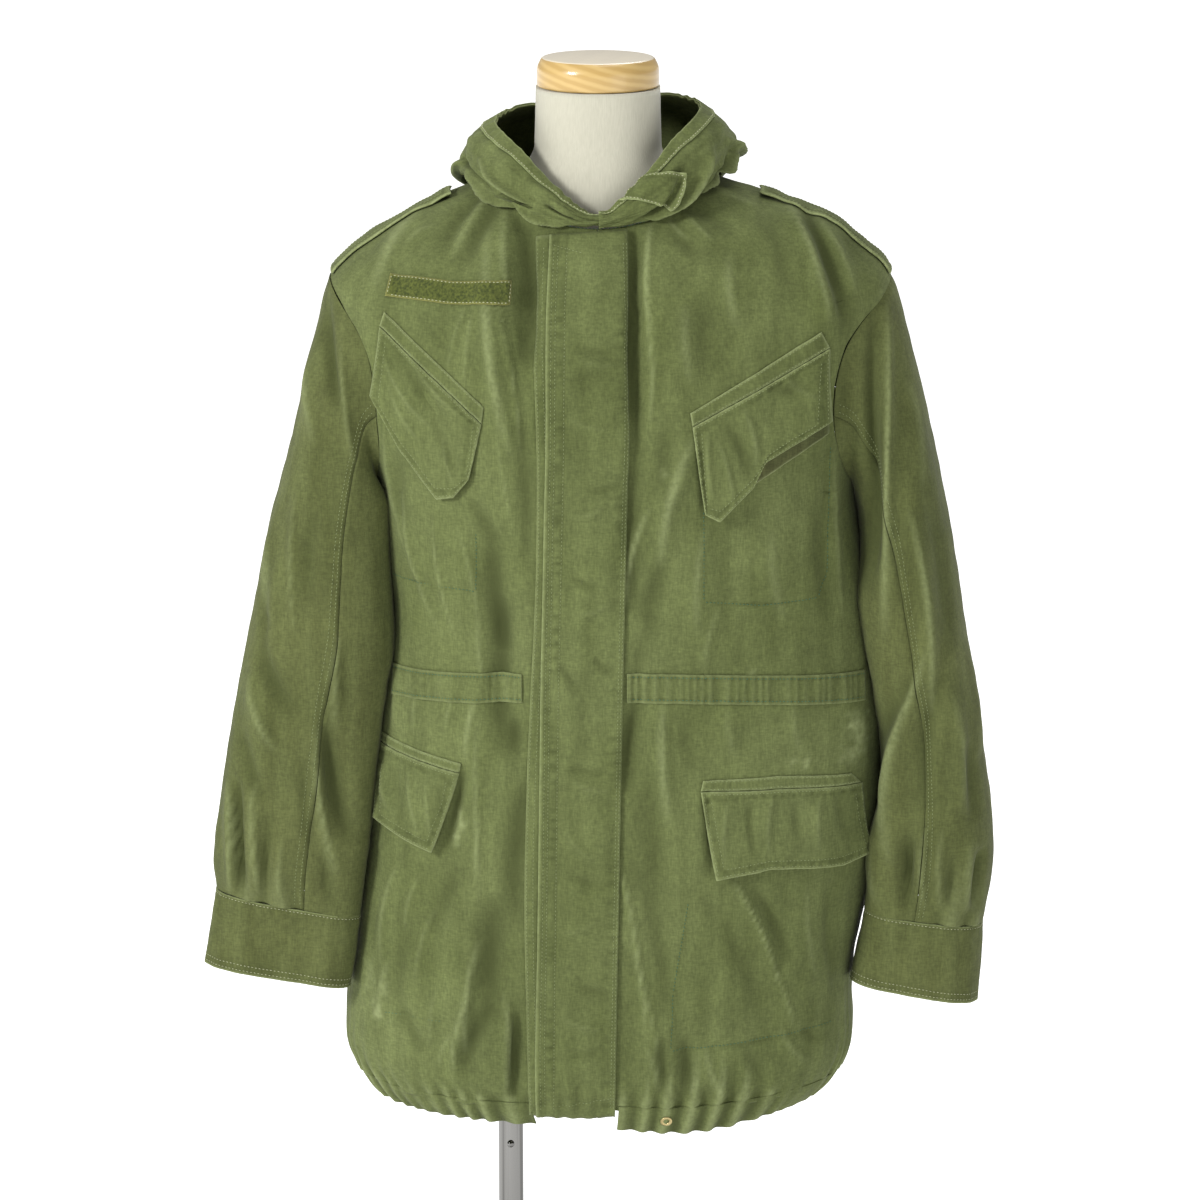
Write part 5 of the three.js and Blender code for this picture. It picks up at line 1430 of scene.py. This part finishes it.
def build_cuff(label):
    side = SIDES[label]
    angle = np.linspace(0, 360, 160, endpoint=False)
    at = np.linspace(0, 2, 26)
    stations = np.stack([section_point(row, side, angle) for row in CUFF_ROWS[label]])
    base = np.einsum("rk,kac->rac", spline_weights(at, 3), stations)
    normals = grid_normals(base, True)
    if np.sum(normals * (base - base.mean(axis=1, keepdims=True))) < 0:
        normals = -normals
    down = np.linspace(0, 1, len(at))[:, None] * CUFF_HEIGHT
    near = np.minimum(down, CUFF_HEIGHT - down)
    stitched = bell(near - 4.5, 1.4) + bell(CUFF_HEIGHT - down - 10, 1.4)
    along = np.radians(angle)[None, :] * 60
    wobble = puckers(along, near - 5, 7.5, 91, reach=6)
    relief = 0.6 + 0.5 * wobble - 0.4 * stitched + 0.4 * waves(along, down, 30, 92)
    wear_and_highlight = 0.8 * bell(near, 2) + 0 * along
    relief = relief + inner_fullness(label, angle)[None, :] * 0.9
    outer = base + normals * relief[..., None]
    # stitch grooves darkened as painted shade
    dark = 0.4 * stitched + 0 * along
    thing = cloth_shell(f"cuff_{label}_cloth", outer, DOUBLED_WALL, wear_and_highlight, dark, ring=True, normals=normals)
    closed = np.concatenate([outer, outer[:, :1]], axis=1)
    facing = np.concatenate([normals, normals[:, :1]], axis=1)
    for place in CUFF_STITCHES:
        sew_line("pale", closed, facing, np.linspace(0, 1, 400), place, width=0.8)
    dress_cloth(thing, f"cuff_{label}", material=CLOTH_SLEEVE_SHADED)


# Hood stations round the neck, as in the part's own source but a few mm higher at the front's edge:
# angle, then out and rise of seven points
HOOD_STATIONS = [
    (6, (0, 3, 6, 8, 8, 6, 1), (1, 2, 4, 7, 10, 13, 15)),
    (30, (0, 5, 10, 14, 15, 12, 0), (1, 1, 4, 11, 20, 31, 38)),
    (55, (0, 7, 14, 19, 19, 12, -7), (1, 0, 3, 14, 29, 46, 57)),
    (90, (0, 10, 21, 29, 29, 18, -6), (1, 1, 2, 11, 27, 46, 59)),
    (125, (0, 22, 38, 50, 53, 36, -1), (1, -10, -26, -20, 4, 36, 58)),
    (142, (0, 32, 52, 68, 74, 54, 2), (1, -22, -64, -66, -20, 30, 54)),
    (160, (0, 38, 62, 79, 86, 64, 4), (1, -30, -98, -102, -42, 24, 51)),
    (180, (0, 42, 70, 88, 97, 76, 8), (1, -36, -118, -126, -56, 18, 49)),
]
HOOD_ANGLES = [station[0] for station in HOOD_STATIONS]
HOOD_OVER_SHOULDER = 6.6
HOOD_TILT = 7
HOOD_ENDS = (0.5, 364)
HOOD_LAP_DEPTH = 2.2
HOOD_WALL = 1.4
HOOD_CASING_WALL = 1.2
HOOD_SET_IN = 6.0
HOOD_GRID = (205, 76)
HOOD_CASING_GRID = (230, 12)
# The hood's cloth in mm: round the neck for each degree, and from the neck seam to the face edge
HOOD_MM_PER_DEGREE = 2.2
HOOD_CLOTH = 200
# Hood creases, in mm round the neck from the back, and across the cloth from the neck seam
HOOD_CREASES = [
    (-330, 40, -250, 150, 10, 9, 4.0), (-352, 30, -290, 160, 9, 8, -3.6),
    (-300, 20, -210, 120, 12, 10, -4.6), (-262, 30, -190, 140, 9, 9, 3.8),
    (-240, 80, -150, 60, 10, 11, -5.0), (-220, 150, -120, 120, 9, 8, 3.4),
    (-180, 40, -100, 110, 10, 10, 4.2), (-150, 130, -60, 150, 8, 9, -4.4),
    (-120, 60, -30, 80, 10, 10, -3.8), (-60, 120, 40, 110, 9, 9, 3.6), (-20, 50, 70, 70, 10, 10, 3.4),
    (40, 140, 120, 130, 8, 9, -4.0), (70, 40, 150, 90, 10, 10, -4.6), (100, 90, 190, 130, 9, 8, 3.8),
    (140, 40, 220, 60, 9, 9, 4.0), (180, 140, 262, 90, 10, 9, -4.8), (200, 90, 290, 60, 10, 8, 3.8),
    (240, 150, 310, 110, 8, 8, 3.6), (255, 60, 330, 30, 8, 8, -4.2), (290, 90, 350, 40, 7, 7, 3.0),
    (330, 140, 372, 100, 5, 6, -3.0),
]


# Small folds of the pocket flaps, and of the placket's cloth
FLAP_CREASES = [
    (-196, 1236, -150, 1172, 4, 5, 1.4), (-182, 1244, -132, 1176, 4, 6, -1.6),
    (-170, 1236, -124, 1186, 4, 5, 1.4), (-190, 1212, -160, 1160, 3, 5, 1.2),
    (-150, 1190, -128, 1136, 3, 6, -1.4), (-142, 1166, -130, 1122, 2, 4, 1.2),
    (100, 1176, 104, 1112, 3, 5, 1.4), (116, 1184, 138, 1126, -4, 7, -2.6),
    (130, 1196, 142, 1140, -4, 6, 1.8), (150, 1216, 196, 1208, 4, 6, -1.6),
    (168, 1224, 204, 1196, 4, 5, 1.3), (108, 1166, 122, 1104, -3, 5, 1.5),
    (-198, 846, -190, 802, 3, 4, 1.8), (-186, 852, -178, 792, 3, 5, -1.6),
    (-174, 846, -162, 786, 3, 4, 1.8), (-158, 838, -150, 782, 2, 4, 1.4),
    (-146, 836, -142, 790, 2, 5, -1.4), (120, 826, 118, 762, 3, 6, 1.4), (142, 824, 146, 770, 3, 5, -1.6),
    (162, 830, 158, 768, 3, 5, 1.5), (184, 822, 192, 772, 3, 6, -1.4), (206, 826, 204, 770, 3, 5, 1.6),
    (226, 828, 232, 776, 3, 6, -1.6), (-20, 1252, 18, 1246, 4, 5, -1.6), (-26, 1214, 14, 1226, -4, 6, -1.4),
    (-20, 1240, 20, 1236, 4, 4, 1.2), (-28, 1188, 8, 1176, 3, 5, 1.2), (-10, 1120, 24, 1128, 3, 5, -1.6),
    (-24, 1040, 4, 1030, 3, 5, -1.6), (-20, 1004, 14, 1016, 3, 5, 1.2), (-4, 964, 20, 950, 4, 5, -1.4),
    (-34, 958, -14, 930, 3, 5, -1.6), (-28, 860, 10, 852, 3, 6, -1.8), (-24, 846, 12, 836, 3, 5, 1.4),
    (-30, 800, -2, 770, 4, 5, 1.2), (-30, 760, 12, 742, 3, 6, -1.6), (-34, 700, 0, 712, 3, 5, 1.4),
    (-20, 652, 12, 640, 3, 6, -1.6), (-34, 618, 4, 606, 3, 5, 1.3), (-30, 580, 10, 588, 3, 6, -1.4),
    (-26, 1096, 8, 1108, 4, 4, 1.4),
]


def ring_sizes(x, y, level):
    """The half width, depth and power of the body's ring on a point's side of it."""
    row = body_row(level)
    half = np.where(x > 0, row["right"], row["left"])
    depth = np.where(y < 0, row["ahead"], row["behind"])
    return half, depth, row["square"]


def ring_angle(x, y, level):
    half, depth, _ = ring_sizes(x, y, level)
    return np.degrees(np.arctan2(x / half, -y / depth))


LEVEL_HALVINGS = 16


def level_under(x, y):
    """The level of the body's ring over a point in plan, and whether the body reaches it."""
    def beyond(level):
        half, depth, power = ring_sizes(x, y, level)
        return (np.abs(x) / half) ** power + (np.abs(y) / depth) ** power - 1

    low = np.full(x.shape, float(TIP_LEVEL))
    high = np.full(x.shape, float(NECK_LEVEL))
    reached = (beyond(low) <= 0) & (beyond(high) >= 0)
    for _ in range(LEVEL_HALVINGS):
        middle = (low + high) / 2
        over = beyond(middle) > 0
        high = np.where(over, middle, high)
        low = np.where(over, low, middle)
    return (low + high) / 2, reached


def hood_point(turn, t):
    turn, t = np.broadcast_arrays(np.asarray(turn, float), np.asarray(t, float))
    folded = np.where(turn > 180, 360 - turn, turn)
    station = np.interp(folded, HOOD_ANGLES, np.arange(len(HOOD_ANGLES)))
    at = t * 6

    def section(index):
        values = np.array([entry[index] for entry in HOOD_STATIONS], float)
        points = np.stack([smooth(values[:, i], station) for i in range(7)], -1)
        return smooth(points, at)

    sin = np.sin(np.radians(turn))
    cos = np.cos(np.radians(turn))
    neck_angle = ring_angle(sin, -cos, np.full(turn.shape, float(NECK_LEVEL)))
    neck = body_point(neck_angle, np.full(turn.shape, float(NECK_LEVEL)))
    reach = np.hypot(neck[..., 0], neck[..., 1]) + section(1)
    x = reach * sin
    y = -reach * cos
    z = neck[..., 2] + section(2) + HOOD_TILT * sin * t
    level, reached = level_under(x, y)
    draped = body_point(ring_angle(x, y, level), level)[..., 2] + HOOD_OVER_SHOULDER * np.minimum(1, at)
    z = np.where(reached, np.maximum(z, draped), z)
    return np.stack([x, y, z], -1)


def hood_relief(turn, t):
    """Creases of the hood in mm round the neck and across the cloth."""
    along = (turn - 180) * HOOD_MM_PER_DEGREE
    across = t * HOOD_CLOTH
    height, wear_and_highlight, dark = creases(HOOD_CREASES, along, across)
    height = height + 0.8 * waves(along, across, 60, 101) + 0.35 * waves(along, across, 20, 102)
    rim = ease((t - 0.86) / 0.1)
    loose = np.clip(0.5 + 0.5 * waves(along, 0, 70, 104), 0.05, 1.2)
    gather = rim * loose * 0.9 * np.sin(2 * math.pi * along / 17 + 3 * waves(along, 0, 60, 103))
    set_in = HOOD_SET_IN * np.sin(math.pi * t) * np.abs(np.sin(np.radians(turn)))
    return height * lerp(1.8, 0.5, rim) - set_in + gather, wear_and_highlight, dark


def hood_surface(turn, t, lift=0.0):
    point = hood_point(turn, t)
    normal = normal_of(hood_point, turn, t, 1.0, 0.01)
    height, wear_and_highlight, dark = hood_relief(turn, t)
    calm = ease(t / 0.12)
    lapped = -HOOD_LAP_DEPTH * ease((turn - 350) / 8)
    # the hood's ridge paling (wear and painted highlight) and its painted shade are strengthened
    return point + normal * (height * calm + lift + lapped)[..., None], normal, 1.2 * wear_and_highlight, 1.4 * dark


def build_hood():
    columns, rows = HOOD_GRID
    turn, t = np.meshgrid(np.linspace(*HOOD_ENDS, columns), np.linspace(0, 1, rows))
    outer, normal, wear_and_highlight, dark = hood_surface(turn, t)
    wear_and_highlight = wear_and_highlight + 0.8 * bell((1 - t) * HOOD_CLOTH, 2.5)
    thing = cloth_shell("hood_cloth", outer, HOOD_WALL, wear_and_highlight, dark, normals=normal)
    dress_cloth(thing, "hood")


def build_hood_casing():
    columns, rows = HOOD_CASING_GRID
    turn, t = np.meshgrid(np.linspace(*HOOD_ENDS, columns), np.linspace(0.9, 0.997, rows))
    inset = edge_distance(rows, columns, 900, 22)
    outer, normal, wear_and_highlight, dark = hood_surface(turn, t, 1.7 - 0.4 * bell(inset - 3, 1.2))
    wear_and_highlight = wear_and_highlight + 0.8 * bell(inset, 2)
    thing = cloth_shell("hood_casing_cloth", outer, HOOD_CASING_WALL, wear_and_highlight, dark, normals=normal)
    sew_line("pale", outer, normal, np.linspace(0.005, 0.995, 900), 0.12)
    dress_cloth(thing, "hood_casing", material=CLOTH_EDGE)


# The throat tab's corners on the hood, as its angle round the neck and its place across the cloth: the
# upper and lower corner at the face edge, then at the free end
THROAT_TAB_START = ((31, 0.97), (15, 0.95))
THROAT_TAB_END = ((50, 0.70), (42, 0.36))


def build_throat_tab():
    rows, columns = 40, 60
    along, across = np.meshgrid(np.linspace(0, 1, columns), np.linspace(0, 1, rows))
    rounded = 1 - 0.07 * ease((along - 0.6) / 0.4) * np.abs(2 * across - 1) ** 4
    turn, t = (
        lerp(lerp(upper_start, lower_start, across), lerp(upper_end, lower_end, across), along * rounded)
        for upper_start, lower_start, upper_end, lower_end in zip(*THROAT_TAB_START, *THROAT_TAB_END)
    )
    near = edge_distance(rows, columns, 56, 34)
    wall = rolled_wall(DOUBLED_WALL, near)
    stitched = bell(near - 5, 1.3)
    lift = 2.4 + wall - 0.4 * stitched + 3.5 * ease((along - 0.75) / 0.25)
    outer, normal, _, _ = hood_surface(turn, t, lift)
    # its stitch groove darkened as painted shade
    thing = cloth_shell("throat_tab_cloth", outer, wall, 0.9 * bell(near, 2), 0.3 * stitched, normals=normal)
    sew_border("pale", outer, normal, 50, 33, 2.2)
    dress_cloth(thing, "throat_tab", material=CLOTH_EDGE)


# Dress form, set a little further inside the shoulders than in the part's own source
FORM_RINGS = [
    (640, 150, 96), (668, 158, 102), (760, 160, 104), (880, 148, 98), (940, 146, 97), (1030, 158, 104),
    (1120, 172, 109), (1180, 182, 107),
]
FORM_NECK_RINGS = [(1393, 74, 62), (1412, 60.5, 60.5), (1430, 58.5, 58.5), (1473, 57.5, 57.5)]
FORM_SHOULDER_LEVELS = (12.6, 13.3, 14, 14.6, 15.2, 15.8, 16.4, 16.9)
FORM_SQUARE = 2.3
FORM_CLEARANCE = 4.5
FORM_SET_IN = 16
FORM_COLUMNS = 110
FORM_ROWS = 110
# The form's armholes: its rings below this level are narrower by this factor
FORM_ARMHOLE_LEVEL = 13.5
FORM_ARMHOLE_FACTOR = 0.86


def form_ring(z, half, depth, angle):
    s = np.sin(np.radians(angle))
    c = np.cos(np.radians(angle))
    reach = ring_reach(s, c, FORM_SQUARE)
    return np.stack([half * s * reach, -depth * c * reach, z + 0 * s], -1)


def shoulder_ring(level, angle):
    point = body_point(angle, level)
    inset = lerp(FORM_SET_IN, FORM_CLEARANCE, np.abs(np.sin(np.radians(angle))) ** 3)
    point = point - body_normal(angle, level) * inset[..., None]
    if level < FORM_ARMHOLE_LEVEL:
        point[..., 0] *= FORM_ARMHOLE_FACTOR
    return point


def build_form():
    angle = np.linspace(0, 360, FORM_COLUMNS, endpoint=False)
    rings = [form_ring(*ring, angle) for ring in FORM_RINGS]
    rings += [shoulder_ring(level, angle) for level in FORM_SHOULDER_LEVELS]
    rings += [form_ring(*ring, angle) for ring in FORM_NECK_RINGS]
    at = np.linspace(0, len(rings) - 1, FORM_ROWS)
    points = np.einsum("rk,kac->rac", spline_weights(at, len(rings)), np.stack(rings))
    dress(ring_object("form_torso_cover", points), ["form_torso"], JERSEY)


def rounded_profile(corners, radius, steps=6):
    """A profile whose inner corners are arcs of about that radius."""
    corners = np.asarray(corners, float)
    profile = [corners[0]]
    for before, corner, after in zip(corners[:-2], corners[1:-1], corners[2:]):
        into = min(radius, 0.45 * np.linalg.norm(corner - before))
        out = min(radius, 0.45 * np.linalg.norm(after - corner))
        start = corner + unit(before - corner) * into
        end = corner + unit(after - corner) * out
        for t in np.linspace(0, 1, steps):
            profile.append((1 - t) ** 2 * start + 2 * t * (1 - t) * corner + t * t * end)
    profile.append(corners[-1])
    return profile


# The cap and the stand, in the sizes of the part's own source
CAP_BOTTOM = 1473.3
CAP_TOP = 1500.3
POLE_X = -84
POLE_RADIUS = 12
POLE_ENDS = (10.3, 639.7)
FOOT_RADIUS = 180
FOOT_HEIGHT = 10
CAP_PROFILE = [(1, CAP_BOTTOM), (56.5, CAP_BOTTOM), (56.5, CAP_TOP - 9), (52, CAP_TOP), (1, CAP_TOP)]
COLLAR_PROFILE = [(12.3, 10.3), (24, 10.3), (24, 16.3), (17.3, 36.3), (12.3, 36.3), (12.3, 10.3)]
BUTTON_Z = 452
BUTTON_RADIUS = 3.6


def disc_profile(radius, low, high):
    return [(1, low), (radius, low), (radius, high), (1, high)]


def build_stand():
    under_form = (POLE_X, 0, 0)
    cap = lathe("form_cap_wood", rounded_profile(CAP_PROFILE, 3), 128)
    dress(cap, ["form_cap"], WOOD)
    pole = lathe("pole_tube", rounded_profile(disc_profile(POLE_RADIUS, *POLE_ENDS), 0.6), 64, under_form)
    dress(pole, ["pole"], CHROME)
    foot = lathe("foot_disc", rounded_profile(disc_profile(FOOT_RADIUS, 0, FOOT_HEIGHT), 3), 160)
    dress(foot, ["foot"], FOOT_CHROME)
    collar = lathe("pole_collar_ring", rounded_profile(COLLAR_PROFILE, 1.5), 64, under_form)
    dress(collar, ["pole_collar"], FOOT_CHROME)


def build_button():
    """The pole's spring button: a low dome that points to the front."""
    low, high = (np.array(corner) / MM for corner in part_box("pole_button"))
    turn = np.linspace(0, 2 * math.pi, 32, endpoint=False)
    rise = np.linspace(0, math.pi / 2, 9)[:, None]
    reach = BUTTON_RADIUS * np.cos(rise)
    dome = np.stack([
        POLE_X + reach * np.cos(turn),
        high[1] - (high[1] - low[1]) * np.sin(rise) + 0 * turn,
        BUTTON_Z + reach * np.sin(turn),
    ], -1)
    dome[-1] = dome[-1].mean(axis=0) + 0.02 * (dome[-2] - dome[-2].mean(axis=0))
    dress(ring_object("pole_button_dome", dome), ["pole_button"], CHROME)


EYELET_PLACE = (64.0, 512.0)
EYELET_RADIUS = 4.1
EYELET_BAND = (1.5, 0.75)


def build_eyelet():
    """The hem's eyelet: a flattened ring in the box of its solid."""
    angle, level = body_solve(np.array(EYELET_PLACE[:1]), np.array(EYELET_PLACE[1:]), "front")
    normal = body_normal(angle, level)[0]
    low, high = (np.array(corner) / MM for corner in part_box("hem_eyelet"))
    side = unit(np.cross((0, 0, 1), normal))
    up = np.cross(normal, side)
    turn = np.linspace(0, 2 * math.pi, 48, endpoint=False)
    around = np.linspace(0, 2 * math.pi, 13, endpoint=False)[:, None]
    radius = EYELET_RADIUS + EYELET_BAND[0] * np.cos(around)
    height = EYELET_BAND[1] * np.sin(around) + 0 * turn
    points = (low + high) / 2 + side * (radius * np.cos(turn))[..., None]
    points = points + up * (radius * np.sin(turn))[..., None] + normal * height[..., None]
    ids = grid_ids(*points.shape[:2], ring=True)
    thing = mesh_object("hem_eyelet_ring", points.reshape(-1, 3), grid_quads(np.concatenate([ids, ids[:1]])))
    close_ends(thing)
    dress(thing, ["hem_eyelet"], BRASS)


# Pocket bags' outlines and other seams sewn through the fronts and back, as x and z seen from the front
BODY_SEAMS = [
    ("front", [(-190, 1024), (-112, 1022), (-112, 1080)]),
    ("front", [(97, 1100), (97, 1014), (150, 1008), (204, 1010), (212, 1030), (214, 1150)]),
    ("front", [(-202, 608), (-190, 608), (-146, 607)]),
    ("front", [(84, 728), (70, 640), (68, 583), (140, 588), (222, 594)]),
    ("front", [(-68, 1364), (54, 1364)]),
    ("back", [(-150, 1300), (0, 1318), (150, 1300)]),
]


def sew_body_seams():
    for face, corners in BODY_SEAMS:
        for start, end in zip(corners[:-1], corners[1:]):
            t = np.linspace(0, 1, 60)
            angle, level = body_solve(lerp(start[0], end[0], t), lerp(start[1], end[1], t), face)
            point, normal, _, _ = dressed_body(angle, level)
            sew("teal", point + 0.35 * normal, normal, width=0.8)


# The studio floor glows like a lit backdrop: least up to the first distance from the stand, in metres,
# and in full from the second
FLOOR_GLOW_FROM = 0.4
FLOOR_GLOW_FULL = 1.6
FLOOR_GLOW = (0.38, 0.95)
FLOOR_SIZE = 120
FLOOR_DROP = 0.0005
WORLD_STRENGTH = 0.34

# Area lights: name, place, aim, size in metres and power in watts
LIGHTS = [
    ("key", (-3.2, -2.5, 2.9), (0, 0, 1.1), 1.1, 165),
    ("fill", (3.0, -3.6, 1.6), (0, 0, 1.0), 2.4, 22),
    ("back", (0.8, 2.4, 4.2), (0, 0, 1.2), 1.6, 45),
    ("top", (0.5, -0.6, 3.9), (0, 0, 1.2), 1.6, 26),
]


def add_floor():
    bpy.ops.mesh.primitive_plane_add(size=FLOOR_SIZE, location=(0, 0, -FLOOR_DROP))
    floor = bpy.context.object
    floor.name = "floor"
    shade = Shader("pale_floor")
    away = shade.add("VectorMath", {0: shade.where}, operation="LENGTH").outputs["Value"]
    glow = shade.add("MapRange", {
        "Value": away, "From Min": FLOOR_GLOW_FROM, "From Max": FLOOR_GLOW_FULL,
        "To Min": FLOOR_GLOW[0], "To Max": FLOOR_GLOW[1],
    })
    floor.data.materials.append(shade.finish({
        "Base Color": grey(0.8), "Roughness": 0.9, "Emission Color": grey(1),
        "Emission Strength": glow.outputs["Result"],
    }))


def add_light(name, place, aim, size, power):
    data = bpy.data.lights.new(name, "AREA")
    data.size = size
    data.energy = power
    light = bpy.data.objects.new(name, data)
    light.location = place
    x, y, z = np.array(aim, float) - np.array(place, float)
    light.rotation_euler = (math.atan2(math.hypot(x, y), -z), 0, math.atan2(y, x) - math.pi / 2)
    bpy.context.scene.collection.objects.link(light)


def add_stage():
    add_floor()
    world = bpy.data.worlds.new("studio")
    world.use_nodes = True
    world.node_tree.nodes["Background"].inputs["Color"].default_value = (1, 1, 1, 1)
    world.node_tree.nodes["Background"].inputs["Strength"].default_value = WORLD_STRENGTH
    bpy.context.scene.world = world
    for light in LIGHTS:
        add_light(*light)
    bpy.context.scene.view_settings.view_transform = "Standard"


build_front("left")
build_front("right")
build_back()
for hem in HEM_PIECES:
    build_hem(hem)
for front_piece in FRONT_PIECES:
    build_front_piece(front_piece)
build_underlap()
build_fly()
for tunnel in TUNNEL_STRIPS:
    build_tunnel(tunnel)
for label in SIDES:
    build_epaulette(label)
    build_sleeve(label)
    build_cuff(label)
build_hood()
build_hood_casing()
build_throat_tab()
build_form()
build_stand()
build_button()
build_eyelet()
sew_body_seams()
build_threads()
add_stage()
